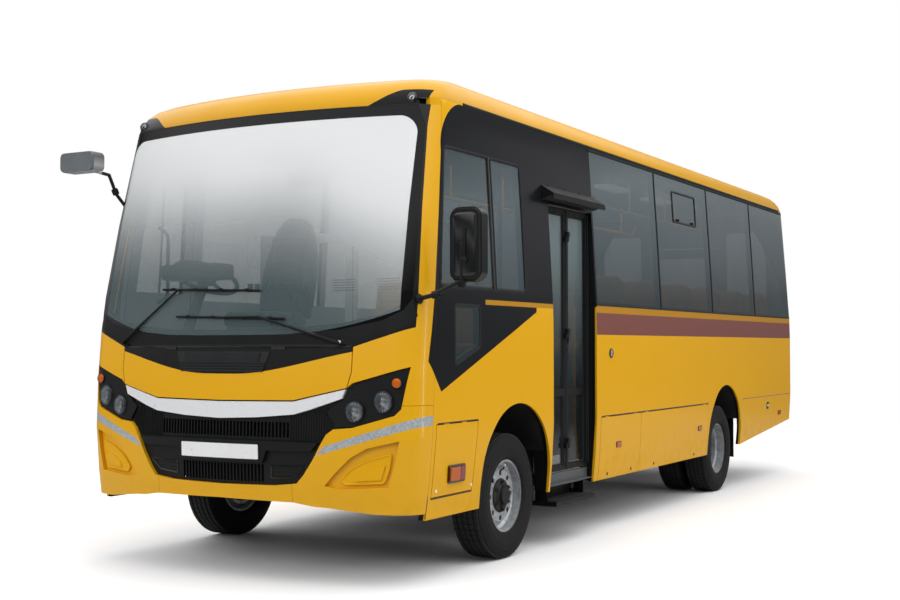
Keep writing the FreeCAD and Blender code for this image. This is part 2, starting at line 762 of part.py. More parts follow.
for z in (900, 1340):
    exit_door = exit_door.fuse(Part.makeCylinder(2.9, 60, Vector(*mm(exit_axis[0], exit_axis[1], z))))
keep("emergency_door", feature("exit_door", exit_door))
keep("emergency_door_glass", feature("exit_pane", tail_skin.common(
    prism(shrink(exit_light, D.seat_gap), "y", *tail_reach))))

# Driver's door on the right, cut round the wheel arch
door_zone = skin(0, D.wall, "right", lower, upper).common(
    prism(driver_door, "x", *RIGHT))
door_zone = door_zone.cut([
    arch(front_axle, 60, *RIGHT),
    skin(0, rebate_depth, "right", 1160, upper).common(prism(driver_window, "x", *RIGHT)),
    prism(shrink(driver_window, 22), "x", *RIGHT)])
x, y = mm(*hinge_axis)
for height in hinge_heights:
    lug = hinge_lug(height, height + 40, y, y + 76, -32)
    door_zone = door_zone.fuse(lug).cut(
        Part.makeCylinder(4 + float(D.pin_gap), 200, Vector(x, y, height - 60)))
keep("driver_door", feature("cab_door", door_zone))
cab_door_pane = skin(D.pane_inset, pane_depth, "right", 1160, upper).common(
    prism(shrink(driver_window, D.seat_gap), "x", *RIGHT))
keep("driver_door_glass", feature("cab_door_pane", cab_door_pane))

# Flaps in the skirt, each with a reveal all round
def skirt_flap(name, side, outline):
    """A flap cut from the skin of the skirt."""
    reach = SIDES[side]
    zone = prism(shrink(outline, D.reveal), "x", *reach).common(
        block(reach, (nose, tail), (D.skirt_height, 1150)))
    flap = skin(0, D.flap_skin, side, lower, 1150).common(zone)
    top = max(float(z) for y, z in outline) - float(D.barrel_drop)
    edge = sorted(float(y) for y, z in outline)
    x = float(half_width - D.barrel_drop) * (1 if side == "left" else -1)
    for y in (edge[1] + 90, edge[-2] - 150):
        flap = flap.fuse(Part.makeCylinder(float(D.barrel_radius), 60, Vector(x, y, top), Vector(0, 1, 0)))
    keep(name, feature(name + "_skin", flap))


skirt_flap("access_flap", "left", access_flap)
for side in SIDES:
    for order, outline in zip(("front", "rear"), skirt_flaps):
        skirt_flap("skirt_flap_%s_%s" % (side, order), side, outline)

# Portal behind the entry and the two folding leaves
inner_depth = D.wall + D.seat_gap
door_inside = D.door_plane - D.leaf_thick
portal_zone = body(inner_depth, "left", lower, 2400).common(
    block((door_inside - 34, FAR), grown(entry_y, 42), (372, D.door_top + 46)))
pivot_y = entry_y[0] + 18
pivot_x = door_inside + 8
portal_frame = portal_zone.cut([
    block((0, FAR), entry_y, (0, D.door_top)), arch(front_axle, 14 + D.seat_gap, *LEFT),
    Part.makeCylinder(float(D.leaf_pin + D.pin_gap), 200, Vector(*mm(pivot_x, pivot_y, 2200)))])
leaf_reach = D.door_width / 2 - 18
middle_y = pivot_y + leaf_reach
middle_x = D.door_plane + D.knuckle_reach
leaf_z = (D.door_bottom, D.door_top - 8)
leaf_spans = {"front": (pivot_y - 9, middle_y - 4), "rear": (middle_y + 4, entry_y[1] - 10)}
lug_z = [D.door_bottom + 150, (D.door_bottom + D.door_top) / 2, D.door_top - 230]
lug_tall = 34


def door_leaf(name):
    """A glazed leaf with its share of the middle hinges."""
    y = leaf_spans[name]
    frame = cut("leaf_" + name, box("leaf_blank_" + name, (door_inside, D.door_plane), y, leaf_z),
                box("leaf_light_" + name, (door_inside - 5, D.door_plane + 5),
                    grown(y, -D.leaf_stile), grown(leaf_z, -D.leaf_stile)))
    rail = box("leaf_rail_" + name, (door_inside, D.door_plane), grown(y, -2),
               (D.belt_height - 640, D.belt_height - 590))
    things = [frame, rail]
    if name == "front":
        things.append(rod("leaf_pivot", D.leaf_pin, 50, (pivot_x, pivot_y, leaf_z[1] - 10)))
    holes = []
    for index, low in enumerate(lug_z):
        base = low if name == "front" else low + lug_tall + 1
        tag = "%s_%d" % (name, index)
        own_y = (middle_y - 34, middle_y - 4) if name == "front" else (middle_y + 4, middle_y + 34)
        things.append(box("lug_" + tag, (D.door_plane - 0.01, middle_x + 6), own_y,
                          (base, base + lug_tall)))
        things.append(rod("lug_barrel_" + tag, D.knuckle, lug_tall, (middle_x, middle_y, base)))
        if name == "front":
            holes.append(rod("lug_bore_" + tag, D.leaf_pin + D.pin_gap, lug_tall * 2 + 10,
                             (middle_x, middle_y, base - 5)))
        else:
            things.append(rod("lug_pin_" + tag, D.leaf_pin, lug_tall * 2 + 1,
                              (middle_x, middle_y, base - lug_tall - 1)))
    leaf = fuse("leaf_whole_" + name, things)
    if holes:
        leaf = cut("leaf_bored_" + name, leaf, group("lug_bores_" + name, holes))
    keep("entry_door_" + name, leaf)
    middle = (door_inside + D.door_plane) / 2
    lights = [box("leaf_glass_%s_%d" % (name, index), (middle - D.glass / 2, middle + D.glass / 2),
                  grown(y, -D.leaf_stile), z)
              for index, z in enumerate(((leaf_z[0] + D.leaf_stile, D.belt_height - 640),
                                         (D.belt_height - 590, leaf_z[1] - D.leaf_stile)))]
    keep("entry_door_%s_glass" % name, group("leaf_lights_" + name, lights))


door_leaf("front")
door_leaf("rear")

# Canopy over the entry
canopy = [(D.door_top + 18, 0), (D.door_top + 118, 0), (D.door_top + 60, 92), (D.door_top + 30, 96),
          (D.door_top + 22, 88), (D.door_top + 50, 84)]
canopy_root = half_width - 50
canopy_solid = prism([(canopy_root + out, z) for z, out in canopy], "y",
                     entry_y[0] - 88, entry_y[1] + 60)
canopy_solid = canopy_solid.cut(body(-D.seat_gap, "left", 2200, 2500))
keep("entry_portal", feature("portal_and_canopy", Part.makeCompound([portal_frame, canopy_solid])))

# Entry steps: a folded sheet, a sill and a hung lower step
step_y = grown(entry_y, -8)
first_tread = size(402)
second_tread = size(652)
first_riser = size(742)
second_riser = size(472)
step_sheet = 6
stair = [(half_width - 42, first_tread), (first_riser, first_tread), (first_riser, second_tread),
         (second_riser, second_tread), (second_riser, floor_under - D.seat_gap),
         (second_riser - step_sheet, floor_under - D.seat_gap),
         (second_riser - step_sheet, second_tread - step_sheet),
         (first_riser - step_sheet, second_tread - step_sheet),
         (first_riser - step_sheet, first_tread - step_sheet),
         (half_width - 42, first_tread - step_sheet)]
stair_solid = prism(stair, "y", *step_y)
sill = block((D.door_plane - 24, D.door_plane), step_y, (first_tread - 20, D.door_bottom - 8))
hung = block((half_width - 190, half_width - 4), grown(step_y, -40), (262, 290))
hangers = [block((half_width - 170, half_width - 150), (y, y + 40), (280, first_tread))
           for y in (step_y[0] + 70, step_y[1] - 110)]
keep("entry_steps", feature("steps", stair_solid.fuse([sill, hung] + hangers).removeSplitter()))

# Floor deck with wheel boxes and the engine hatch
def wheel_box(centre, low, high):
    """A wheel housing above an arch, closed towards the middle."""
    skin = 8
    outside = arch(centre, 14, low, high)
    inside = arch(centre, 14 - skin, low - 1, high - skin) if float(low) < 0 else arch(
        centre, 14 - skin, low + skin, high + 1)
    return outside.cut(inside)


box_depth = {"front": size(655), "rear": size(638)}
deck = body(inner_depth, "whole", 640, 1150).common(
    block((-FAR, FAR), (nose + 190, tail), (floor_under, D.floor_top)))
cover_x = (size(-400), size(400))
cover_y = (front_axle - 885, front_axle + 330)
deck_tools = [
    block((second_riser + 16, FAR), entry_y, (0, D.roof_height)),
    block((door_inside - 34 - D.seat_gap, FAR), grown(entry_y, 42 + D.seat_gap), (0, D.roof_height)),
    block(cover_x, cover_y, (0, D.roof_height)),
    block((-FAR, -half_width + D.wall + 8), (nose, driver_door_rear + D.reveal), (0, D.roof_height)),
]
platform_x = (size(-1140), size(-440))
platform_y = (front_axle - 380, front_axle + 370)
platform_top = D.floor_top + 200
boxes = []
for order, centre in (("front", front_axle), ("rear", rear_axle)):
    depth = box_depth[order]
    for low, high in ((depth, FAR), (-FAR, -depth)):
        deck_tools.append(arch(centre, 14 + D.seat_gap, low, high))
        boxes.append(wheel_box(centre, low, high))
keeper = body(inner_depth, "whole", 640, 1150).common(block((-FAR, FAR), (nose, tail), (640, 1150)))
boxes = [keeper.common(item) for item in boxes]
keep("wheel_boxes", feature("arched_boxes", Part.makeCompound(boxes)))
platform = block(platform_x, platform_y, (D.floor_top, platform_top)).cut(
    block(grown(platform_x, -14), grown(platform_y, -14), (D.floor_top - 2, platform_top - 14)))
platform = platform.cut(arch(front_axle, 14 + D.seat_gap, -FAR, -box_depth["front"]))
deck = deck.cut(deck_tools)
arch_span = D.arch_radius + 14
deck_rows = [nose, cover_y[0], front_axle + D.arch_shift - arch_span, cover_y[1],
             front_axle + D.arch_shift + arch_span, entry_y[1] + 42 + D.seat_gap,
             rear_axle + D.arch_shift - arch_span, rear_axle + D.arch_shift + arch_span, tail]
cab_columns = [-FAR, -box_depth["front"], cover_x[0], cover_x[1], box_depth["front"], FAR]
cabin_columns = [-FAR, -box_depth["rear"], box_depth["rear"], FAR]
plates = [platform]
for ahead, behind in zip(deck_rows, deck_rows[1:]):
    columns = cab_columns if float(ahead) < float(cover_y[1]) else cabin_columns
    for right, left in zip(columns, columns[1:]):
        plate = deck.common(block((right, left), (ahead, behind), (floor_under - 1, D.floor_top + 1)))
        plates += plate.Solids
keep("floor", feature("deck", Part.makeCompound(plates)))

# Chassis: channel rails, cross members and floor bearers
rail_outside = D.rail_spread / 2
rail_y = (nose + D.rail_front, tail - D.rail_rear)
rail_z = (D.rail_top - D.rail_depth, D.rail_top)


def channel(name, way):
    """A channel rail, open to the middle."""
    outside = rail_outside if way > 0 else -rail_outside
    inside = rail_outside - D.rail_flange if way > 0 else -(rail_outside - D.rail_flange)
    x = (inside, outside) if way > 0 else (outside, inside)
    hollow = (inside - 5, outside - D.rail_steel) if way > 0 else (outside + D.rail_steel, inside + 5)
    return cut(name, box(name + "_blank", x, rail_y, rail_z),
               box(name + "_hollow", hollow, grown(rail_y, 5), grown(rail_z, -D.rail_steel)))


cross_y = [nose + 230, front_axle + 720, front_axle + 1900, front_axle + 3150, rear_axle + 700,
           tail - 330]
cross_z = (D.rail_top - 100, D.rail_top - 12)
members = [box("cross_%d" % index, (-rail_outside + 4, rail_outside - 4), (y - 40, y + 40), cross_z)
           for index, y in enumerate(cross_y)]
bearer_z = (D.rail_top, floor_under - D.seat_gap)
bearers = []
bearer_places = [
    (nose + 410, 1000, 1000), (front_axle + 565, 1120, 430), (front_axle + 1330, 1120, 1120),
    (front_axle + 2150, 1140, 1140), (front_axle + 2950, 1140, 1140), (rear_axle - 560, 1140, 1140),
    (rear_axle + 20, 600, 600), (rear_axle + 620, 1140, 1140), (rear_axle + 1350, 1140, 1140),
    (tail - 300, 1100, 1100)]
for index, (y, right, left) in enumerate(bearer_places):
    bearers.append(box("bearer_%d" % index, (-right, left), (y, y + D.bearer_width), bearer_z))
# Towing eye under the tail, bored upright
tow_y = tail - 148
tow_z = (D.rail_top - 76, D.rail_top - 44)
tow_lug = box("tow_lug", (-60, 60), (tail - 292, tow_y + 48), tow_z)
tow_bore = rod("tow_bore", 20, 60, (0, tow_y, tow_z[0] - 10))
keep("chassis_frame", group("chassis", [
    channel("rail_left", 1), channel("rail_right", -1), cut("tow_plate", tow_lug, tow_bore)]
    + members + bearers))

# Leaf springs with their hangers
def leaf_spring(centre, x, seat_z, eye_z, half_span):
    """An arched pack of leaves under a rail with its two hangers."""
    x, seat_z, eye_z, half_span = mm(x, seat_z, eye_z, half_span)
    centre = float(centre)
    under = float(rail_z[0]) - 0.3
    pieces = []
    for layer, (share, thick) in enumerate(((1.0, 14), (0.82, 12), (0.62, 12), (0.42, 12))):
        low = seat_z + 36 - layer * 12
        rise = (eye_z - seat_z) * share * share
        span = half_span * share
        bottom = Part.Arc(Vector(x, centre - span, low + rise), Vector(x, centre, low),
                          Vector(x, centre + span, low + rise)).toShape()
        top = Part.Arc(Vector(x, centre - span, low + rise + thick), Vector(x, centre, low + thick),
                       Vector(x, centre + span, low + rise + thick)).toShape()
        ends = [Part.makeLine(Vector(x, centre + way * span, low + rise),
                              Vector(x, centre + way * span, low + rise + thick)) for way in (-1, 1)]
        outline = Part.Wire(Part.__sortEdges__([bottom, ends[1], top, ends[0]]))
        pieces.append(Part.Face(outline).extrude(Vector(66, 0, 0)))
    for way in (-1, 1):
        y = centre + way * half_span
        pieces.append(Part.makeCylinder(26, 66, Vector(x, y, eye_z + 42), Vector(1, 0, 0)))
        pieces.append(Part.makeBox(66, 56, under - eye_z - 42, Vector(x, y - 28, eye_z + 42)))
    pieces.append(Part.makeBox(74, 110, 60, Vector(x - 4, centre - 55, seat_z)))
    return pieces[0].fuse(pieces[1:]).removeSplitter()


spring_x = rail_outside - D.rail_flange + 2
springs = []
for centre, seat_z, eye_z, half_span in ((front_axle, 378, 470, 600), (rear_axle, 452, 478, 650)):
    for x in (spring_x, -spring_x - 66):
        springs.append(leaf_spring(centre, x, seat_z, eye_z, half_span))
keep("leaf_springs", feature("springs", Part.makeCompound(springs)))

# Front axle beam, bored at both ends for the king pins
boss_radius = 42
boss_z = (hub_height - 60, hub_height + 60)
beam_half = [(0, 322), (500, 322), (760, 346), (D.kingpin_reach - 30, 352), (D.kingpin_reach - 30, 430),
             (740, 424), (520, 378 - 0.3), (0, 378 - 0.3)]
beam = prism(both(beam_half), "y", front_axle - 45, front_axle + 45)
web = [(60, 336), (480, 336), (700, 356), (700, 402), (500, 364), (60, 364)]
pocket_low = float(front_axle)
for outline in (web, flipped(web)):
    beam = beam.cut([prism(outline, "y", pocket_low - 50, pocket_low - 12),
                     prism(outline, "y", pocket_low + 12, pocket_low + 50)])
for way in (-1, 1):
    at = Vector(way * float(D.kingpin_reach), pocket_low, float(boss_z[0]))
    beam = beam.fuse(Part.makeCylinder(boss_radius, float(boss_z[1] - boss_z[0]), at))
    bore = Part.makeCylinder(float(D.kingpin_radius + D.pin_gap), 200, at - Vector(0, 0, 30))
    beam = beam.cut(bore)
keep("front_axle_beam", feature("beam", beam.removeSplitter()))

# Steering knuckles: fork, king pin, spindle and steering arm
arm_back = 165
arm_z = (boss_z[0] - 34, boss_z[0] - 8)
arm_x = D.kingpin_reach
arm_pin_radius = 8
spindle_end = D.track_reach + D.disc_offset + 20


def knuckle(name, way):
    """One knuckle; way is 1 on the left."""
    def x(value):
        return size(value) if way > 0 else -size(value)

    def span(low, high):
        return (size(low), size(high)) if way > 0 else (-size(high), -size(low))

    tag = name + "_"
    reach = D.kingpin_reach
    y = front_axle
    fork = [box(tag + "fork_%d" % index, span(reach - 40, reach + 72), (y - 40, y + 40), z)
            for index, z in enumerate((arm_z, (boss_z[1] + 8, boss_z[1] + 34)))]
    back = box(tag + "back", span(reach + 48, reach + 72), (y - 62, y + 62), (arm_z[0], boss_z[1] + 34))
    pin = rod(tag + "pin", D.kingpin_radius, boss_z[1] - boss_z[0] + 60, (x(reach), y, boss_z[0] - 30))
    spindle = rod(tag + "spindle", D.spindle_radius, spindle_end - reach - 60,
                  (x(reach + 60) if way > 0 else x(spindle_end), y, hub_height), "x")
    arm = box(tag + "arm", span(arm_x - 17, arm_x + 17), (y, y + arm_back + 17), arm_z)
    bore = rod(tag + "arm_bore", arm_pin_radius + D.pin_gap, 60, (x(arm_x), y + arm_back, arm_z[0] - 10))
    whole = fuse(tag + "whole", fork + [back, pin, spindle, arm])
    keep("steering_knuckle_" + name, cut(tag + "bored", whole, bore))


knuckle("left", 1)
knuckle("right", -1)

# Tie rod under the steering arms
tie_z = arm_z[0] - 30
tie = [rod("tie_bar", 12, arm_x * 2, (-arm_x, front_axle + arm_back, tie_z), "x")]
for index, x in enumerate((-arm_x, arm_x)):
    tie.append(rod("tie_eye_%d" % index, 16, 36, (x, front_axle + arm_back, tie_z - 18)))
    tie.append(rod("tie_pin_%d" % index, arm_pin_radius, 58, (x, front_axle + arm_back, tie_z)))
keep("tie_rod", fuse("tie", tie))

# Rear axle: housing with its banjo, hub tubes and the propeller shaft
tube_reach = D.track_reach - D.twin_pitch / 2 + 60
shaft_radius = 52
housing = [
    rod("axle_tube", shaft_radius, tube_reach * 2, (-tube_reach, rear_axle, hub_height), "x"),
    rod("axle_banjo", 178, 150, (-75, rear_axle, hub_height), "x"),
    cone("banjo_left", 150, 66, 190, (75, rear_axle, hub_height), "x"),
    cone("pinion", 90, 56, 210, (0, rear_axle - 330, hub_height + 10), "y"),
]
banjo_right = place(doc.addObject("Part::Cone", "banjo_right"), (-75, rear_axle, hub_height),
                    Rotation(Vector(0, 1, 0), -90))
for side, value in (("Radius1", 150), ("Radius2", 66), ("Height", 190)):
    banjo_right.setExpression(side, size(value).text)
pads = [box("axle_pad_%d" % index, (x, x + 66), (rear_axle - 50, rear_axle + 50),
            (hub_height, 452 - D.seat_gap)) for index, x in enumerate((spring_x, -spring_x - 66))]
rear_housing = fuse("axle", housing + [banjo_right] + pads)
gear_tail = front_axle + 640
shaft_start = Vector(0, float(gear_tail) + 4, 596)
shaft_stop = Vector(0, float(rear_axle) - 331, float(hub_height) + 14)
shaft_run = shaft_stop - shaft_start
shaft = feature("propeller_shaft", Part.makeCylinder(42, shaft_run.Length, shaft_start, shaft_run))
keep("rear_axle", group("rear_axle_set", [rear_housing, shaft]))

# Wheels: tyre and rim outlines turned about the axle
def revolved(body, outline, name):
    """An outline in a body's plane turned once about its X axis."""
    turned = body.newObject("PartDesign::Revolution", name)
    turned.Profile = outline
    turned.ReferenceAxis = (outline, ["H_Axis"])
    turned.Angle = 360
    body.Tip = turned
    return turned


def tyre(name, reaches, y):
    """One or two tyres on an axle end; reaches are their middles."""
    solids = []
    for index, middle in enumerate(reaches):
        body = doc.addObject("PartDesign::Body", "%s_tyre_%d" % (name, index))
        half = D.tyre_width / 2
        tread = D.tread_width / 2
        crown = D.tyre_radius
        bead = D.rim_width / 2 - D.rim_wall - 3 - D.seat_gap
        flange = D.rim_radius + D.seat_gap * 2
        right = [(bead, D.bead_radius), (bead + 3, flange), (half - 8, flange + 8),
                 (half, D.rim_radius + 62), (half - 5, crown - 48), (tread + 6, crown - 12),
                 (tread - 10, crown)]
        path = right + [(-x, r) for x, r in reversed(right)]
        outline = sketch(body, "XY_Plane", path, "%s_tyre_outline_%d" % (name, index))
        revolved(body, outline, "%s_tyre_turn_%d" % (name, index))
        place(body, (middle, y, hub_height))
        solids.append(body)
    label = "tyre_" + name if len(solids) == 1 else "tyres_" + name
    keep(label, group(label + "_set", solids) if len(solids) > 1 else solids[0])


FRONT_HUB = {"back": -50, "web": -30, "drum": -84, "nose": 92}
"""Front hub along the axle from the middle of the rim, outwards."""


def front_rim_path():
    """Outline of a front rim, disc, hub and drum: outwards along the axle, and radius."""
    half = D.rim_width / 2
    wall = D.rim_wall
    seat = D.bead_radius - D.seat_gap
    well = seat - 20
    face = D.disc_offset + wall / 2
    back = D.disc_offset - wall / 2
    bore = D.spindle_radius + D.pin_gap
    hub = D.hub_radius
    drum = D.drum_radius
    return [
        (half, D.rim_radius), (half - wall, D.rim_radius), (half - wall - 3, seat), (10, seat),
        (2, well), (-14, well), (-24, seat), (-half + wall + 3, seat), (-half + wall, D.rim_radius),
        (-half, D.rim_radius), (-half, seat - wall), (-30, seat - wall), (-20, well - wall),
        (4, well - wall), (back, D.vent_circle + 4), (back, hub + 6), (FRONT_HUB["web"] + 8, hub + 6),
        (FRONT_HUB["web"] + 8, drum), (FRONT_HUB["drum"], drum), (FRONT_HUB["drum"], drum - 22),
        (FRONT_HUB["web"], drum - 22), (FRONT_HUB["web"], hub - 18), (FRONT_HUB["back"], hub - 18),
        (FRONT_HUB["back"], bore), (FRONT_HUB["nose"] - 14, bore), (FRONT_HUB["nose"] - 14, 0),
        (FRONT_HUB["nose"], 0), (FRONT_HUB["nose"], hub - 26),
        (FRONT_HUB["nose"] - 10, hub - 18), (face, hub - 14), (face, D.vent_circle),
        (18, well - wall), (22, well - wall + 4), (32, seat - wall), (half, seat - wall)]


def twin_rim_path():
    """Outline of both rear rims, their discs, hub and drum about the plane between them."""
    half = D.rim_width / 2
    wall = D.rim_wall
    seat = D.bead_radius - D.seat_gap
    well = seat - 20
    apart = D.twin_pitch / 2
    bore = shaft_radius + D.pin_gap
    hub = D.hub_radius
    drum = D.drum_radius
    rim = [
        (apart + half, D.rim_radius), (apart + half - wall, D.rim_radius),
        (apart + half - wall - 3, seat), (apart + 10, seat), (apart + 2, well), (apart - 14, well),
        (apart - 24, seat), (apart - half + wall + 3, seat), (apart - half + wall, D.rim_radius),
        (apart - half, D.rim_radius), (apart - half, seat - wall)]
    return_side = [
        (wall, D.vent_circle), (apart - half + 20, seat - wall), (apart - 34, seat - wall),
        (apart - 22, well - wall), (apart + 10, well - wall), (apart + 20, seat - wall),
        (apart + half, seat - wall)]
    inner_rim = [(-x, r) for x, r in reversed(rim)]
    inner_back = [(-x, r) for x, r in reversed(return_side)]
    hub_path = [
        (-wall, hub + 50), (-28, hub + 50), (-28, drum), (-120, drum), (-120, drum - 22),
        (-40, drum - 22), (-40, hub), (-70, hub), (-70, bore), (70, bore), (70, 0), (84, 0),
        (84, hub - 12),
        (76, hub), (wall, hub)]
    return rim + [(0, D.vent_circle + 8)] + inner_rim + inner_back + hub_path + return_side


def wheel_rim(name, way, path, middle, y, holes_at):
    """A rim turned from its outline, with ventilation holes round the disc."""
    body = doc.addObject("PartDesign::Body", name + "_rim_body")
    points = [(way * size(x), r) for x, r in path]
    outline = sketch(body, "XY_Plane", points, name + "_rim_outline")
    revolved(body, outline, name + "_rim_turn")
    doc.recompute()
    plane = [item for item in body.Origin.OriginFeatures if item.Role == "YZ_Plane"][0]
    ring = body.newObject("Sketcher::SketchObject", name + "_vent_circle")
    ring.AttachmentSupport = [(plane, "")]
    ring.MapMode = "FlatFace"
    ring.AttachmentOffset = Placement(Vector(0, 0, way * holes_at), Rotation())
    radius, circle = mm(D.vent_radius, D.vent_circle - 22)
    ring.addGeometry(Part.Circle(Vector(circle, 0, 0), Vector(0, 0, 1), radius), False)
    ring.addConstraint(Sketcher.Constraint("PointOnObject", 0, 3, -1))
    reach = ring.addConstraint(Sketcher.Constraint("DistanceX", -1, 1, 0, 3, circle))
    ring.setExpression("Constraints[%d]" % reach, (D.vent_circle - 22).text)
    wide = ring.addConstraint(Sketcher.Constraint("Radius", 0, radius))
    ring.setExpression("Constraints[%d]" % wide, D.vent_radius.text)
    vent = body.newObject("PartDesign::Pocket", name + "_vent")
    vent.Profile = ring
    vent.Length = 40
    vent.Reversed = way < 0
    doc.recompute()
    vents = body.newObject("PartDesign::PolarPattern", name + "_vents")
    vents.Originals = [vent]
    vents.Axis = (ring, ["N_Axis"])
    vents.Angle = 360
    vents.setExpression("Occurrences", D.vent_count.text)
    body.Tip = vents
    place(body, (middle, y, hub_height))
    keep("rim_" + name, body)


twin_middle = D.track_reach - D.twin_pitch / 2
for side, way in (("left", 1), ("right", -1)):
    tyre("front_" + side, [way * D.track_reach], front_axle)
    tyre("rear_" + side, [way * D.track_reach, way * (D.track_reach - D.twin_pitch)], rear_axle)
    wheel_rim("front_" + side, way, front_rim_path(), way * D.track_reach, front_axle, 62)
    wheel_rim("rear_" + side, way, twin_rim_path(), way * twin_middle, rear_axle, 20)

# Engine with gearbox and radiator, in the nose between the rails
engine_y = (front_axle - 860, front_axle + 60)
engine = [
    box("engine_mass", (-285, 285), engine_y, (470, 1080)),
    box("gearbox", (-150, 150), (engine_y[1], gear_tail), (500, 750)),
]
radiator = box("radiator", (-320, 320), (nose + 270 + D.seat_gap, nose + 345), (480, 830))
keep("engine_block", group("engine_set", [fuse("engine", engine), radiator]))
cover_skin = 12
hump_y = (cover_y[0] - 20, cover_y[1] + 20)
hump = cut("hump", box("hump_outside", (-420, 420), hump_y, (D.floor_top + D.seat_gap, 1230)),
           box("hump_hollow", (-420 + cover_skin, 420 - cover_skin), grown(hump_y, -cover_skin),
               (D.floor_top - 10, 1230 - cover_skin)))
keep("engine_cover", hump)

# Fuel tank on the right, exhaust on the left
tank_y = (front_axle + 1500, front_axle + 2600)
tank_x = (-D.rail_spread / 2 - 590, -D.rail_spread / 2 - 60)
tank = [box("tank_body", tank_x, tank_y, (440, 725))]
for index, y in enumerate((tank_y[0] + 180, tank_y[1] - 240)):
    tank.append(box("tank_strap_%d" % index, (tank_x[0] - 4, -D.rail_spread / 2 - D.seat_gap),
                    (y, y + 60), (432, 733)))
keep("fuel_tank", fuse("tank", tank))
pipe_x = 560
pipe_z = 505
muffler_y = (front_axle + 2250, front_axle + 3050)
exhaust = [
    rod("exhaust_front", 32, muffler_y[0] - front_axle - 740, (pipe_x, front_axle + 740, pipe_z), "y"),
    rod("muffler", 95, muffler_y[1] - muffler_y[0], (pipe_x, muffler_y[0], pipe_z), "y"),
    rod("tail_pipe", 32, tail - 260 - muffler_y[1], (pipe_x, muffler_y[1], pipe_z), "y"),
    rod("cross_pipe", 32, pipe_x - 160, (160, front_axle + 740, pipe_z), "x"),
]
for index, y in enumerate((muffler_y[0] + 120, muffler_y[1] - 160, rear_axle + 780)):
    exhaust.append(box("hanger_%d" % index, (rail_outside + D.seat_gap, pipe_x), (y, y + 40),
                       (pipe_z, pipe_z + 130)))
keep("exhaust", fuse("exhaust_line", exhaust))

# Mud flaps behind both axles, hung from the floor
flaps = []
for side, way in (("left", 1), ("right", -1)):
    for order, low, high, y, drop in (
            ("front", 700, 1070, front_axle + 523.3, 300), ("rear", 640, 1120, rear_axle + 545, 270)):
        x = (size(low), size(high)) if way > 0 else (-size(high), -size(low))
        flaps.append(box("mud_flap_%s_%s" % (order, side), x, (y, y + 8), (drop, floor_under - D.seat_gap)))
keep("mud_flaps", group("mud_flap_set", flaps))

# Dashboard, steering column and hand wheel
dash_low = D.floor_top + D.seat_gap
dash_outline = [(nose + 130, dash_low), (nose + 460, dash_low), (nose + 490, 1190), (nose + 470, 1290),
                (nose + 330, 1345), (nose + 130, 1330)]
dash = body(D.wall + 12, "nose", 800, 1420).common(prism(dash_outline, "x", -1090, 1090))
wheel_lean = math.radians(26)
wheel_centre = Vector(-690, float(front_axle) - 730, 1775)
column_lean = Vector(0, math.sin(wheel_lean), math.cos(wheel_lean))
column_length = 560
column_foot = wheel_centre - column_lean * (column_length + 4 + float(D.seat_gap))
column = Part.makeCylinder(34, column_length, column_foot, column_lean)
keep("dashboard", feature("dash", dash.fuse(column).removeSplitter()))


def hand_wheel():
    """Rim, three spokes and boss, made flat and then tilted onto the column."""
    rim = Part.makeTorus(212, 15)
    boss = Part.makeCylinder(42, 44, Vector(0, 0, -4))
    parts = [rim, boss]
    for angle in (90, 210, 330):
        spoke = Part.makeBox(180, 30, 12, Vector(28, -15, -2))
        spoke.rotate(Vector(0, 0, 0), Vector(0, 0, 1), angle)
        parts.append(spoke)
    whole = parts[0].fuse(parts[1:]).removeSplitter()
    whole.Placement = Placement(wheel_centre, Rotation(Vector(0, 0, 1), column_lean))
    return whole


steering_wheel = feature("hand_wheel", Part.Shape())
steering_wheel.Shape = hand_wheel()
keep("steering_wheel", steering_wheel)

# Driver's seat and the screen behind it
seat_x = (-940, -460)
seat_y = (front_axle - 300, front_axle + 170)
seat_z = (platform_top + 350, platform_top + 460)
driver_back = prism([(seat_y[1] - 100, seat_z[1] - 10), (seat_y[1] - 20, seat_z[1] - 10),
                     (seat_y[1] + 90, 2300), (seat_y[1] + 30, 2300)], "x", seat_x[0] + 10, seat_x[1] - 10)
driver_cushion = block(seat_x, seat_y, seat_z)
driver_base = block(grown(seat_x, -90), grown(seat_y, -90), (platform_top + D.seat_gap, seat_z[0] + 10))
keep("driver_seat", feature("drivers_seat", driver_base.fuse([driver_cushion, driver_back])))
screen_y = front_axle + 402
screen = block((-1120, -300), (screen_y, screen_y + 30), (D.floor_top + D.seat_gap, 2150))
screen = screen.cut(block((-1060, -360), (screen_y - 10, screen_y + 40), (1420, 2080)))
poles = [Part.makeCylinder(17, 2946 - 900.3, Vector(x, float(y), 900.3))
         for x, y in ((-280, screen_y + 15), (420, front_axle + 1310))]
keep("driver_screen", feature("screen_frame", Part.makeCompound([screen.fuse(poles[0]), poles[1]])))

# Passenger seats: a cushion and a back on each frame
seat_count = int(float(D.seat_rows))
seats = []
for side, way in (("left", 1), ("right", -1)):
    for row in range(seat_count):
        y = front_axle + D.seat_first + D.seat_pitch * row
        x = (size(285), 285 + D.seat_width) if way > 0 else (-285 - D.seat_width, size(-285))
        leg_x = (size(330), size(370)) if way > 0 else (size(-370), size(-330))
        rest = prism([(y + 350, 1330), (y + 430, 1330), (y + 530, 1900), (y + 470, 1900)], "x", *x)
        seats.append(rest.fuse([block(x, (y, y + 430), (D.floor_top + 350, D.floor_top + 450)),
                                block(leg_x, (y + 60, y + 380),
                                      (D.floor_top + D.seat_gap, D.floor_top + 352))]))
keep("passenger_seats", feature("seats", Part.makeCompound(seats)))

# Cowl below the windshield
cowl_band = skin(3, cowl_depth, "nose", 1300, 1610).common(
    prism(shrink(cowl_outline, D.seat_gap), "y", *nose_reach))

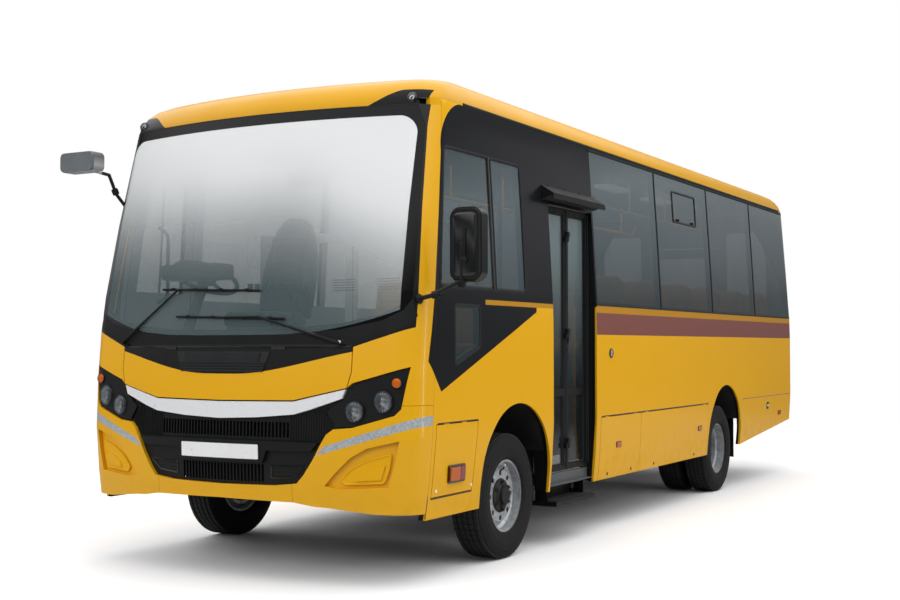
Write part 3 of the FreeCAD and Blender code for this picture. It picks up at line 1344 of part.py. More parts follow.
# Grille: a sunk panel with upright slots and the bar across it
mouth_inner = shrink(mouth_outline, D.seat_gap)
grille_base = skin(24, 38, "nose", 500, 1230).common(prism(mouth_inner, "y", *nose_reach))
grille_base = grille_base.cut([
    prism(lamp_half, "y", *nose_reach), prism(flipped(lamp_half), "y", *nose_reach),
    prism(shrink(both(strip_half), -D.seat_gap), "y", *nose_reach)])
slots = []
slot_pitch = 24
for index in range(-19, 20):
    slots.append(block((index * slot_pitch - 8, index * slot_pitch + 8), nose_reach, (816, 902)))
for index in range(-12, 13):
    slots.append(block((index * slot_pitch - 8, index * slot_pitch + 8), nose_reach, (560, 660)))
bar_proud = -1.17
bar_half = [(0, 672), (300, 672), (330, 742), (612, 745), (650, 792), (0, 796)]
bar = skin(bar_proud, 30, "nose", 660, 800).common(prism(both(bar_half), "y", *nose_reach))
keep("grille", feature("grille_panel", grille_base.cut(slots).fuse(bar).removeSplitter()))

# Headlamps: housings with two round lamps and an indicator each
LAMPS = [(864, 969, 56), (1022, 1024, 58), (1096, 1128, 30)]
housing_skin = skin(10, 50, "nose", 880, 1230)
lens_skin = skin(4, 44, "nose", 880, 1230)


def lamp_unit(way):
    """One housing with its lamps; way is 1 on the left."""
    outline = shrink(lamp_half, D.seat_gap)
    if way < 0:
        outline = flipped(outline)
    housing = housing_skin.common(prism(outline, "y", *nose_reach))
    for x, z, radius in LAMPS:
        barrel = Part.makeCylinder(radius, 260, Vector(way * x, float(nose) - 20, z), Vector(0, 1, 0))
        housing = housing.cut(barrel)
        housing = housing.fuse(lens_skin.common(Part.makeCylinder(
            radius + 0.5, 260, Vector(way * x, float(nose) - 20, z), Vector(0, 1, 0))))
    return housing


headlamps = [lamp_unit(1), lamp_unit(-1)]
keep("headlamps", feature("headlamp_units", Part.makeCompound(headlamps)))


# Mirrors on arms from the front pillars
def tube(points, radius):
    """A round bar through some points, rounded at its corners."""
    pieces = []
    for start, end in zip(points, points[1:]):
        run = end - start
        pieces.append(Part.makeCylinder(radius, run.Length, start, run))
        pieces.append(Part.makeSphere(radius, end))
    return pieces[0].fuse(pieces[1:])


def mirror_head(centre, width, height, depth):
    """A shell with rounded corners that faces the rear."""
    head = Part.makeBox(width, depth, height,
                        Vector(centre.x - width / 2, centre.y - depth / 2, centre.z - height / 2))
    upright = [edge for edge in head.Edges if abs(edge.tangentAt(edge.FirstParameter).y) > 0.9]
    return head.makeFillet(min(width, height) * 0.3, upright)


reach = float(D.mirror_reach)
left_head = Vector(reach - float(D.mirror_width) / 2, float(front_axle) - 1060, 1890)
left_arm = tube([Vector(1150, float(nose) + 300, 1590), Vector(1270, float(nose) + 270, 1610),
                 Vector(left_head.x - 20, left_head.y - 40, 1690),
                 Vector(left_head.x - 20, left_head.y - 40, 1890)], 13)
left_mirror = mirror_head(left_head, float(D.mirror_width), float(D.mirror_height), 70).fuse(left_arm)
right_head = Vector(-reach + 150, float(front_axle) - 1130, 2530)
right_arm = tube([Vector(-1130, float(nose) + 420, 2240), Vector(-1175, float(nose) + 380, 2320),
                  Vector(-1190, float(nose) + 330, 2440), Vector(right_head.x, right_head.y, 2500)], 11)
right_mirror = mirror_head(right_head, 300, 130, 90).fuse(right_arm)
clear_nose = body(-D.seat_gap, "nose", 1420, 2700)
keep("mirrors", feature("mirror_pair", Part.makeCompound(
    [left_mirror.cut(clear_nose), right_mirror.cut(clear_nose)])))

# Wipers laid across the glass
def skin_y(x, z, inset=0.0):
    """Where the nose skin lies at a place seen from the front."""
    rows = stations()
    for (low, side_a, front_a, rear_a), (high, side_b, front_b, rear_b) in zip(rows, rows[1:]):
        if low <= z <= high:
            front = front_a + (front_b - front_a) * (z - low) / (high - low)
            bow = float(D.front_radius)
            return float(nose) + front + inset + bow - math.sqrt(bow ** 2 - x ** 2)
    return float(nose)


def over_glass(x, z, stand):
    """A point a little ahead of the glass."""
    return Vector(x, skin_y(x, z) - stand, z)


wipers = []
for pivot, elbow, blade in (((-850, 1352), (-376, 1664), ((-509, 1672), (244, 1650))),
                            ((768, 1352), (269, 1496), ((-365, 1506), (422, 1487)))):
    arm = tube([over_glass(pivot[0], pivot[1], -14), over_glass(pivot[0], pivot[1], 24),
                over_glass(elbow[0], elbow[1], 20)], 7)
    edge = tube([over_glass(blade[0][0], blade[0][1], 11),
                 over_glass((blade[0][0] + blade[1][0]) / 2, (blade[0][1] + blade[1][1]) / 2, 12),
                 over_glass(blade[1][0], blade[1][1], 11)], 7)
    wipers.append(arm.fuse(edge))
keep("cowl_and_wipers", feature("cowl_panel", Part.makeCompound([cowl_band.cut(wipers)] + wipers)))

doc.recompute()
for thing in doc.Objects:
    for state in ("Invalid", "Error"):
        if state in thing.State:
            raise RuntimeError("%s is %s" % (thing.Name, state))
os.makedirs("parts", exist_ok=True)
for thing in nodes:
    shape = thing.Shape
    if shape.isNull() or not shape.isValid():
        raise RuntimeError("%s has no valid shape" % thing.Label)
for thing in nodes:
    thing.Shape.exportStep("parts/%s.step" % thing.Label)
    bounds = thing.Shape.BoundBox
    print("%-26s %2d solids  %9.0f cm3  x %5d %5d  y %5d %5d  z %5d %5d" % (
        thing.Label, len(thing.Shape.Solids), thing.Shape.Volume / 1000, bounds.XMin, bounds.XMax,
        bounds.YMin, bounds.YMax, bounds.ZMin, bounds.ZMax))
print("%d nodes" % len(nodes))
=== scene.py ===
# %% [markdown]
# # A school bus, dressed in Blender
# The solids of the bus come ready made, one object for each panel, pane, wheel and seat.
# This lesson gives them paint, glass, rubber and cloth, and adds the small things that a
# solid model leaves out: tread, nuts, lamps, rubber seals, door gear and cushions.
# Lengths are metres. +X is the bus's own left, +Y its rear, +Z up.

# %% Load the frame
import bpy
import bmesh
import math
from mathutils import Matrix, Vector
from mathutils.bvhtree import BVHTree


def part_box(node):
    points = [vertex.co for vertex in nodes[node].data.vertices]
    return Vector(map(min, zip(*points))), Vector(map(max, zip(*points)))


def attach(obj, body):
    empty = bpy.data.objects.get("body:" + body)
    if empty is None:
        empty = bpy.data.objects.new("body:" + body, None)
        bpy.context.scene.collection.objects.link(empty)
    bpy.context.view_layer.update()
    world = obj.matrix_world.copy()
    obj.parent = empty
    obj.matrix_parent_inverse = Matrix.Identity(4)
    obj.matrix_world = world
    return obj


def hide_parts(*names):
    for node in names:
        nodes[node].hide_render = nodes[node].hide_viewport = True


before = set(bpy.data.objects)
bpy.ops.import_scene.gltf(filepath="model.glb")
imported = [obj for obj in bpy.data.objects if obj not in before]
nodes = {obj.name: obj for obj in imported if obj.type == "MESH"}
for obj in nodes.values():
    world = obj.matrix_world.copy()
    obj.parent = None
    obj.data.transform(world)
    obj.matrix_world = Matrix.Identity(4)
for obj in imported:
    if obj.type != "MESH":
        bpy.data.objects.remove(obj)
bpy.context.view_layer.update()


# %% [markdown]
# ## Camera, floor and light
# A studio picture of a vehicle is lit by a huge soft ceiling, so that the paint shows one
# long highlight. The camera stands a little above waist height in front of the left corner.
# The world is white where the camera looks at it, and fades to grey near the ground for
# reflections. The windshield's gradient comes partly from these reflections and mostly from a reflection
# painted into its glass.

# %% Camera
FRONT_AXLE = -2.660
REAR_AXLE = 1.640
HUB = 0.3915
SIDES = (("left", 1), ("right", -1))

camera_data = bpy.data.cameras.new("studio_camera")
camera_data.sensor_width = 36
camera_data.lens = 51.38
camera = bpy.data.objects.new("studio_camera", camera_data)
camera.location = (4.8082, -9.9087, 1.3349)
camera.rotation_euler = (math.radians(92.03), 0, math.radians(29.36))
scene = bpy.context.scene
scene.collection.objects.link(camera)
scene.camera = camera
scene.view_settings.view_transform = "Standard"


# %% Floor and lights
def link(name, data):
    """A new object in the scene."""
    thing = bpy.data.objects.new(name, data)
    scene.collection.objects.link(thing)
    return thing


def floor_disc(name, radius, height):
    """A round floor."""
    bm = bmesh.new()
    bmesh.ops.create_circle(bm, cap_ends=True, segments=96, radius=radius)
    bmesh.ops.translate(bm, verts=bm.verts, vec=(0, 0, height))
    mesh = bpy.data.meshes.new(name)
    bm.to_mesh(mesh)
    bm.free()
    return link(name, mesh)


floor = floor_disc("studio_floor", 90, 0.0)


def soft_light(name, size, spot, target, power):
    """A rectangular area light that looks at a point."""
    data = bpy.data.lights.new(name, "AREA")
    data.shape = "RECTANGLE"
    data.size, data.size_y = size
    data.energy = power
    lamp = link(name, data)
    lamp.location = spot
    lamp.rotation_euler = (Vector(target) - Vector(spot)).to_track_quat("-Z", "Y").to_euler()
    lamp.visible_glossy = False
    return lamp


soft_light("ceiling", (7, 14), (1.5, -1.0, 8.5), (0, 0, 0), 580)
soft_light("front_fill", (8, 4), (-1.5, -12.0, 4.5), (0, -4, 1.4), 290)
soft_light("side_fill", (12, 3), (9.0, 0.5, 4.0), (0, 0, 1.4), 160)
soft_light("tail_fill", (8, 3), (2.5, 12.0, 4.0), (0, 4, 1.4), 150)
soft_light("right_fill", (12, 3), (-9.5, 0.0, 4.0), (0, 0, 1.4), 170)
corner_strip = soft_light("corner_strip", (0.5, 3.2), (9.5, -1.7, 1.9), (1.2, -3.8, 1.5), 50)
corner_strip.visible_glossy = True
soft_light("saloon_light", (1.4, 4.5), (0, 1.2, 2.84), (0, 1.2, 0.9), 26)
soft_light("cab_light", (1.4, 0.8), (0, -2.7, 2.70), (0, -2.7, 0.9), 9)


# %% [markdown]
# ## Shader maths
# A material is a small program. Wrapping its sockets in a class lets the program read like
# one: `dirt = (1 - height) * grain` adds the Math nodes that it needs.

# %% A socket that can be used in sums
class Wire:
    """A socket of a material's tree."""

    def __init__(self, ink, socket):
        self.ink = ink
        self.socket = socket

    def maths(self, operation, *values):
        """One Math node on this and other values."""
        return self.ink.node("ShaderNodeMath", {"operation": operation}, values)

    def __add__(self, other):
        return self.maths("ADD", self, other)

    def __sub__(self, other):
        return self.maths("SUBTRACT", self, other)

    def __rsub__(self, other):
        return self.maths("SUBTRACT", other, self)

    def __mul__(self, other):
        return self.maths("MULTIPLY", self, other)

    def __gt__(self, other):
        return self.maths("GREATER_THAN", self, other)

    def __lt__(self, other):
        return self.maths("LESS_THAN", self, other)

    def __abs__(self):
        return self.maths("ABSOLUTE", self)

    __radd__ = __add__
    __rmul__ = __mul__

    def root(self):
        """The square root."""
        return self.maths("SQRT", self)

    def between(self, low, high):
        """1 inside a span, 0 outside."""
        return (self > low) * (self < high)

    def either(self, other):
        """The larger of two values."""
        return self.maths("MAXIMUM", self, other)

    def ease(self, start, stop):
        """Rises smoothly from 0 at start to 1 at stop."""
        return self.ink.node("ShaderNodeMapRange", {"interpolation_type": "SMOOTHSTEP"},
                             {"Value": self, "From Min": start, "From Max": stop})


def tint(code):
    """A colour from its usual six-digit code, as the shader needs it."""
    parts = [int(code[i:i + 2], 16) / 255 for i in (0, 2, 4)]
    return tuple(v / 12.92 if v < 0.04045 else ((v + 0.055) / 1.055) ** 2.4 for v in parts) + (1.0,)


class Ink:
    """A material under construction."""

    def __init__(self, name, **fixed):
        self.material = bpy.data.materials.new(name)
        self.material.use_nodes = True
        self.tree = self.material.node_tree
        self.shader = self.tree.nodes["Principled BSDF"]
        self.spot = None
        for socket, value in fixed.items():
            self.shader.inputs[socket.replace("_", " ")].default_value = value

    def node(self, kind, settings=None, inputs=(), output=0):
        """Any node: its settings first, then the values or links of its sockets."""
        made = self.tree.nodes.new(kind)
        for key, value in (settings or {}).items():
            setattr(made, key, value)
        pairs = inputs.items() if isinstance(inputs, dict) else enumerate(inputs)
        for key, value in pairs:
            socket = made.inputs[key]
            if isinstance(value, Wire):
                self.tree.links.new(value.socket, socket)
            else:
                socket.default_value = tint(value) if isinstance(value, str) else value
        return Wire(self, made.outputs[output])

    def place(self):
        """The x, y and z of the surface in the bus's frame."""
        if self.spot is None:
            where = self.node("ShaderNodeTexCoord", output=3)
            split = self.node("ShaderNodeSeparateXYZ", inputs=[where])
            self.where = where
            self.spot = [Wire(self, split.socket.node.outputs[i]) for i in range(3)]
        return self.spot

    def facing(self, axis):
        """How far the surface faces along an axis of its own object."""
        normal = self.node("ShaderNodeTexCoord", output=1)
        split = self.node("ShaderNodeSeparateXYZ", inputs=[normal])
        return Wire(self, split.socket.node.outputs[axis])

    def noise(self, scale, detail=2.0, rough=0.5):
        """Soft noise of a given fineness."""
        self.place()
        return self.node("ShaderNodeTexNoise", None, {
            "Vector": self.where, "Scale": scale, "Detail": detail, "Roughness": rough})

    def mix(self, share, first, second):
        """From one colour to another by a share. A colour may be its six-digit code."""
        return self.node("ShaderNodeMix", {"data_type": "RGBA"}, {0: share, 6: first, 7: second}, 2)

    def set(self, socket, value):
        """Feed or set a socket of the shader."""
        target = self.shader.inputs[socket]
        if isinstance(value, Wire):
            self.tree.links.new(value.socket, target)
        else:
            target.default_value = value
        return self

    def bump(self, height, strength, distance):
        """Relief from a height."""
        relief = self.node("ShaderNodeBump", None, {
            "Height": height, "Strength": strength, "Distance": distance})
        return self.set("Normal", relief)


# %% [markdown]
# ## Paint
# Bus paint is a gloss enamel: an even colour, a faint orange-peel relief in the clear coat,
# and road film low on the skirt. The stripes are painted on, so the colour is worked out
# from the place on the body, and every panel that shares the paint lines up by itself.

# %% Colours of the bus
YELLOW = tint("e0a60d")
# The roof's yellow is a darker copy of the flanks' yellow: painted shade that holds back the strong light
# from above.
SHADED_ROOF_YELLOW = tint("cf980c")
DEEP_YELLOW = tint("b5811c")
CHARCOAL = tint("141519")
BLACK = tint("08090a")
BROWN = tint("7c4c45")
SILVER = tint("b2b7b9")
LINING = tint("8e9296")
DUST = tint("5f4517")


def enamel(name, **fixed):
    """Gloss paint before its colour is set."""
    settings = {"Roughness": 0.36, "Coat_Weight": 0.10, "Coat_Roughness": 0.05,
                "Specular_IOR_Level": 0.16}
    settings.update(fixed)
    ink = Ink(name, **settings)
    peel = ink.noise(260, 3)
    ink.bump(peel, 0.05, 0.0006)
    return ink


def road_film(ink, colour, low=0.36, high=0.85):
    """Dust that thickens towards the lower edge."""
    z = ink.place()[2]
    film = (1 - z.ease(low, high)) * ink.noise(9, 5, 0.62).ease(0.34, 0.75)
    ink.set("Roughness", film * 0.22 + 0.3)
    return ink.mix(film * 0.08, colour, DUST)


# %% The flanks: charcoal head, wedge, brown and orange bands
DOOR_REAR = -1.388
DRIVER_DOOR_REAR = -2.900
FIRST_PANE = -1.378
WEDGE_TIP = (-3.62, 1.079)
WEDGE_END = (-2.38, 1.551)
TRIM_STRIP = (-3.089, -2.106, 1.580, 1.610)
BAND_LOW, BAND_MID, BAND_TOP = 1.412, 1.570, 1.622
WEDGE_NOSE = (-3.633, 1.079)
WEDGE_NOSE_SLOPE = -1.28
HOOP_Y, HOOP_Z, HOOP_RADIUS = -3.230, 2.458, 0.310
HOOP_LEAN = 0.185


def charcoal_head(ink):
    """1 on the dark field round the cab window, the door and the wedge below them."""
    _, y, z = ink.place()
    slope = (WEDGE_END[1] - WEDGE_TIP[1]) / (WEDGE_END[0] - WEDGE_TIP[0])
    wedge_edge = (y - WEDGE_TIP[0]) * slope + WEDGE_TIP[1]
    point = (y - WEDGE_NOSE[0]) * WEDGE_NOSE_SLOPE + WEDGE_NOSE[1]
    wedge = (z > wedge_edge) * (z > point) * (y < WEDGE_END[0])
    head = (z > TRIM_STRIP[3]).either(wedge) * (y < FIRST_PANE)
    ahead = (HOOP_Y - y - (HOOP_Z - z).either(0.0) * HOOP_LEAN).either(0.0)
    up = (z - HOOP_Z).either(0.0)
    return head * (ahead * ahead + up * up < HOOP_RADIUS ** 2)


def flank_paint():
    """The paint of both sides of the bus."""
    ink = enamel("flank_enamel")
    x, y, z = ink.place()
    head = charcoal_head(ink)
    posts = (y > DOOR_REAR) * (z > BAND_TOP)
    behind = y > (x < 0) * (DRIVER_DOOR_REAR - DOOR_REAR) + DOOR_REAR
    colour = ink.mix(behind * z.between(BAND_MID, BAND_TOP), YELLOW, DEEP_YELLOW)
    colour = ink.mix(behind * z.between(BAND_LOW, BAND_MID), colour, BROWN)
    colour = ink.mix(head.either(posts), colour, CHARCOAL)
    strip = y.between(TRIM_STRIP[0], TRIM_STRIP[1]) * z.between(TRIM_STRIP[2], TRIM_STRIP[3])
    colour = ink.mix(strip, colour, DEEP_YELLOW)
    film = road_film(ink, colour)
    # Inside the skin: grey lining on faces above 0.98 m that don't face along the bus. The cut edges of
    # panels and flaps, faces along the bus and all lower inner faces are near-black, as painted shade in the
    # gaps.
    outside = 1.22 - (z - 1.64).either(0.0) * 0.0636 - (0.80 - z).either(0.0) * 0.075
    inside = abs(x) < outside - 0.014
    inward = (z > 0.98) * (abs(ink.facing(1)) < 0.5)
    lining_and_edge_shade = ink.mix(inward, "141516", LINING)
    ink.set("Base Color", ink.mix(inside, film, lining_and_edge_shade))
    return ink.material


# %% Nose, tail and roof
def nose_paint():
    """Yellow hoop with the black ends beside the glass and over the cowl."""
    ink = enamel("nose_enamel", Coat_Weight=0.2, Specular_IOR_Level=0.3)
    x, _, z = ink.place()
    across = abs(x)
    wing = z.between(1.297, 1.62) * (z > (across - 0.842) * 0.335 + 1.325) * (across < 1.172)
    inner = ink.facing(1) > 0.25
    pillar = (z > 1.60) * ((2.6 - z).either(0.0) * 0.0595 + 1.113 > across)
    black = wing.either(pillar).either(z.between(1.33, 1.42) * (across < 0.86))
    colour = ink.mix(black.either(charcoal_head(ink)), YELLOW, BLACK)
    film = road_film(ink, colour, 0.4, 0.8)
    ink.set("Base Color", ink.mix(inner, film, CHARCOAL))
    return ink.material


def bumper_paint():
    """Yellow bumper with the bright reflective stripe across its corners."""
    ink = enamel("bumper_enamel", Coat_Weight=0.2, Specular_IOR_Level=0.3)
    x, _, z = ink.place()
    across = abs(x)
    below = (across - 0.694) * 0.321 + 0.776 > z
    above = (across - 0.642) * 0.296 + 0.721 < z
    end = (across - 0.668) * 1.05 + 0.749 > z
    flakes = ink.noise(70, 4, 0.7).ease(0.3, 0.7)
    tape = ink.mix(flakes, "8f9599", SILVER)
    colour = ink.mix(below * above * end, YELLOW, tape)
    film = road_film(ink, colour, 0.36, 0.7)
    inner = ink.facing(1) > 0.25
    ink.set("Base Color", ink.mix(inner, film, CHARCOAL))
    return ink.material


def flap_paint():
    """Service flap: yellow below a black field that follows the nose."""
    ink = enamel("flap_enamel", Coat_Weight=0.25, Specular_IOR_Level=0.35)
    x, _, z = ink.place()
    edge = abs(x).ease(0.1, 1.15) * 0.16 + 1.173
    ink.set("Base Color", ink.mix(z > edge, YELLOW, BLACK))
    return ink.material


def tail_paint():
    """Yellow tail with the bands carried round it."""
    ink = enamel("tail_enamel")
    x, _, z = ink.place()
    inner = ink.facing(1) < -0.25
    colour = ink.mix(z.between(1.63, 2.74) * (abs(x) > 0.42), YELLOW, CHARCOAL)
    ink.set("Base Color", ink.mix(inner, road_film(ink, colour, 0.6, 1.1), LINING))
    return ink.material


def roof_paint():
    """Yellow roof, darkened as painted shade, with black corners to the visor, pale lining underneath."""
    ink = enamel("roof_enamel")
    x, y, z = ink.place()
    across = abs(x)
    inner = ink.facing(2) < -0.3
    dull = ink.noise(2.5, 4).ease(0.3, 0.8)
    colour = ink.mix(dull * 0.06, SHADED_ROOF_YELLOW, DUST)
    wing = across.ease(0.70, 0.96) * 0.115 + 2.702 > z
    colour = ink.mix(wing * (y < -3.45) * (across < 1.098), colour, BLACK)
    ink.set("Base Color", ink.mix(inner, colour, "c4c6c6"))
    ink.set("Roughness", dull * 0.08 + 0.28)
    return ink.material


def plain_paint():
    """Yellow with nothing on it."""
    ink = enamel("plain_enamel")
    ink.set("Base Color", road_film(ink, ink.mix(0.0, YELLOW, YELLOW)))
    return ink.material


flank = flank_paint()
nose = nose_paint()
bumper = bumper_paint()
service = flap_paint()
rear = tail_paint()
roof = roof_paint()
plain = plain_paint()
print("paints", len(bpy.data.materials))


# %% [markdown]
# ## Plastics, metals, rubber and glass
# Each of these is told apart less by colour than by how it breaks up the light: moulded
# plastic has a fine grain, cast iron a coarse one, brushed steel long scratches, and glass
# turns from clear to mirror as it is seen more edge-on.

# %% Finishes made from a few numbers
def grained(name, colour, rough, scale=420, depth=0.25, relief=0.0004, worn=None, **fixed):
    """Moulded plastic, cast metal or rubber: a grain in relief and uneven gloss.

    Both colours are six-digit codes; the worn one shows where the gloss is uneven."""
    ink = Ink(name, **fixed)
    grain = ink.noise(scale, 3)
    wear = ink.noise(7, 5, 0.6).ease(0.35, 0.8)
    ink.bump(grain, depth, relief)
    ink.set("Roughness", wear * 0.14 + rough)
    ink.set("Base Color", ink.mix(wear * 0.35, colour, worn or colour))
    return ink.material


def see_through(name, colour, body):
    """Tinted glass: part mirror, part window, and less clear the flatter it is seen."""
    ink = Ink(name, Roughness=0.02, Metallic=0.85)
    haze = ink.noise(1.6, 2).ease(0.3, 0.9)
    ink.set("Base Color", ink.mix(haze * 0.12, colour, "8b8f90"))
    edge = ink.node("ShaderNodeLayerWeight", None, {"Blend": 0.25}, 1)
    behind = ink.node("ShaderNodeNewGeometry", output=6)
    ink.set("Alpha", (edge * (1 - body) + body) * (1 - behind * 0.75))
    return ink.material


def windshield_glass():
    """Clear glass inside a black printed border with round corners.

    A pale painted reflection lies over its upper half and grows towards the bus's left, as a studio's ceiling
    would show on leaning glass."""
    ink = Ink("windshield", Specular_IOR_Level=0.25)
    x, _, z = ink.place()
    across = abs(x)
    bend, clear_half, clear_top, clear_foot = 0.11, 1.093, 2.655, 1.395
    side = (across - (clear_half - bend) + (z - 1.55) * 0.020).either(0.0)
    top = (z - (clear_top - bend)).either(0.0)
    sill = (across - 0.35).either(0.0)
    border = (side * side + top * top > bend * bend).either(z < sill * sill * 0.25 + clear_foot)
    # Painted reflection: the glass turns pale and less clear with height and towards the bus's left, broken
    # up by soft noise.
    painted_reflection_noise = ink.noise(0.9, 2) * 0.16 - 0.08
    high = z + painted_reflection_noise + x.ease(0.3, 1.2) * 0.34
    painted_sky_reflection = high.ease(1.62, 2.42)
    painted_reflection_cover = high.ease(1.90, 2.68)
    tinted = ink.mix(painted_sky_reflection, "66777a", "eff1f2")
    ink.set("Base Color", ink.mix(border, tinted, BLACK))
    ink.set("Roughness", border * 0.12 + 0.02)
    ink.set("Alpha", border.either(painted_reflection_cover * 0.48 + 0.31))
    return ink.material


def door_pane_glass():
    """Glass of the folding leaves, barely clear: a dark tint, painted lighter grey-green towards the top as a
    reflection of the bright ceiling.
    """
    ink = Ink("door_pane", Specular_IOR_Level=0.35, Roughness=0.06)
    z = ink.place()[2]
    # Painted reflection: the dark tint lightens to grey-green with height.
    ink.set("Base Color", ink.mix(z.ease(0.9, 2.5), "181d1e", "738488"))
    behind = ink.node("ShaderNodeNewGeometry", output=6)
    ink.set("Alpha", (1 - behind * 0.7) * 0.84)
    return ink.material


def mirror_shells():
    """Black mirror arms and left shell; the dish of the right mirror is grey, turning dark near its top."""
    ink = Ink("mirror_shells", Roughness=0.34, Specular_IOR_Level=0.4)
    x, _, z = ink.place()
    dish = (x < -1.235) * (z > 2.45)
    # The dish's light grey turns dark over its top 12 cm.
    grey = ink.mix((2.60 - z).ease(0.0, 0.12), "3a3d40", "a9adb2")
    ink.bump(ink.noise(420, 3), 0.15, 0.0003)
    ink.set("Base Color", ink.mix(dish, "0e0f10", grey))
    return ink.material


def step_paint():
    """Worn metal inside the door, black on the step that hangs outside."""
    ink = Ink("step_paint", Metallic=0.4)
    z = ink.place()[2]
    wear = ink.noise(7, 5, 0.6).ease(0.35, 0.8)
    metal = ink.mix(wear * 0.35, "5a5c5e", "77787a")
    ink.bump(ink.noise(160, 3), 0.3, 0.0006)
    ink.set("Base Color", ink.mix(z > 0.325, "0d0e0f", metal))
    ink.set("Roughness", wear * 0.14 + 0.42)
    return ink.material


def rim_paint():
    """Silver steel wheel with a black centre, brake dust in its corners."""
    ink = Ink("rim_paint", Metallic=0.65)
    _, y, z = ink.place()
    axle = (y > -0.5) * (REAR_AXLE - FRONT_AXLE) + FRONT_AXLE
    along, up = y - axle, z - HUB
    radius = (along * along + up * up).root()
    dust = ink.noise(26, 4, 0.6).ease(0.35, 0.75)
    silver = ink.mix(dust * 0.45, "c2c5c8", "5b5b5c")
    ink.bump(ink.noise(300, 2), 0.15, 0.0004)
    ink.set("Base Color", ink.mix(radius < 0.107, silver, "121314"))
    ink.set("Roughness", dust * 0.2 + 0.32)
    return ink.material


black_plastic = grained("moulded_black", "0e0f10", 0.46, worn="1a1b1c",
                       Specular_IOR_Level=0.3)
cab_plastic = grained("cab_plastic", "33363a", 0.55, worn="44474b")
dark_paint = grained("chassis_black", "141516", 0.5, 120, 0.3, 0.0008, "3a332b")
iron = grained("cast_iron", "2b2b2c", 0.62, 90, 0.6, 0.0012, "4a3a2e", Metallic=0.6)
rim_finish = rim_paint()
bright = grained("satin_chrome", "eceef0", 0.26, 200, 0.08, 0.0003, "dddfe2", Metallic=0.2)
step_metal = grained("step_metal", "5a5c5e", 0.45, 160, 0.3, 0.0006, "77787a", Metallic=0.5)
steel = grained("exhaust_steel", "6d6a66", 0.4, 140, 0.2, 0.0006, "7a5a40", Metallic=0.9)
floor_vinyl = grained("floor_vinyl", "4a4d50", 0.6, 520, 0.3, 0.0005, "5d6063")
rubber = grained("tyre_rubber", "151516", 0.70, 240, 0.35, 0.0006, "262627",
                 Specular_IOR_Level=0.3)
red_lens = grained("red_lens", "7d0f0c", 0.12, 700, 0.1, 0.0003, Coat_Weight=0.6)
yellow_rail = grained("yellow_rail", "d69a17", 0.3, 300, 0.08, 0.0003, Coat_Weight=0.4)
dark_glass = see_through("tinted_pane", "64757c", 0.72)
clear_glass = windshield_glass()
door_glass = door_pane_glass()
mirror_paint = mirror_shells()
step_finish = step_paint()
screen_grey = grained("screen_grey", "a9adae", 0.45, 300, 0.08, 0.0003, "9a9e9f")
print("materials", len(bpy.data.materials))


# %% [markdown]
# ## Finish every solid
# The solids come as loose triangles. Welding them and splitting only the sharp edges lets
# curved panels shade as one smooth skin while folds stay crisp.

# %% Give each node its finish
FINISHES = (
    (flank, "side_wall_left side_wall_right driver_door access_flap"
            " skirt_flap_left_front skirt_flap_left_rear"
            " skirt_flap_right_front skirt_flap_right_rear"),
    (roof, "roof"),
    (plain, "roof_hatch"),
    (nose, "front_mask"),
    (clear_glass, "windshield"),
    (bumper, "front_bumper"),
    (service, "service_flap"),
    (bright, "nose_strip"),
    (rear, "tail_panel emergency_door"),
    (red_lens, "tail_lamps"),
    (dark_glass, "window_panes emergency_door_glass driver_door_glass"),
    (black_plastic, "rear_bumper entry_door_front entry_door_rear entry_portal"
                    " mud_flaps steering_wheel grille headlamps cowl_and_wipers"),
    (dark_paint, "wheel_boxes chassis_frame leaf_springs front_axle_beam tie_rod"
                 " fuel_tank"),
    (door_glass, "entry_door_front_glass entry_door_rear_glass"),
    (step_finish, "entry_steps"),
    (floor_vinyl, "floor"),
    (iron, "steering_knuckle_left steering_knuckle_right rear_axle"
           " engine_block"),
    (rubber, "tyre_front_left tyres_rear_left tyre_front_right"
             " tyres_rear_right"),
    (rim_finish, "rim_front_left rim_rear_left rim_front_right rim_rear_right"),
    (cab_plastic, "engine_cover dashboard driver_seat passenger_seats"),
    (steel, "exhaust"),
    (screen_grey, "driver_screen"),
    (mirror_paint, "mirrors"),
)
FINISH = {name: finish for finish, names in FINISHES for name in names.split()}
SMOOTH_ANGLE = math.radians(32)


def finish_node(name):
    """Material and smooth shading for one solid."""
    thing = nodes[name]
    thing.data.materials.clear()
    thing.data.materials.append(FINISH[name])
    thing.data.polygons.foreach_set("use_smooth", [True] * len(thing.data.polygons))
    weld = thing.modifiers.new("join_triangles", "WELD")
    weld.merge_threshold = 0.00002
    split = thing.modifiers.new("keep_folds", "EDGE_SPLIT")
    split.split_angle = SMOOTH_ANGLE
    split.use_edge_sharp = False


for name in sorted(nodes):
    finish_node(name)
print("finished", len(nodes), "solids")


# %% Studio surfaces
floor_ink = Ink("studio_floor", Roughness=0.6)
x, y, z = floor_ink.place()
grain = floor_ink.noise(3, 2)
seen_white = floor_ink.mix(grain * 0.2, "f6f6f6", "f1f1f1")
path = floor_ink.node("ShaderNodeLightPath")
floor_ink.set("Base Color", floor_ink.mix(path, "a2a2a2", seen_white))
reach = (x * x + y * y).root()
floor_ink.set("Alpha", 1 - reach.ease(6.5, 13.5))
floor.data.materials.append(floor_ink.material)

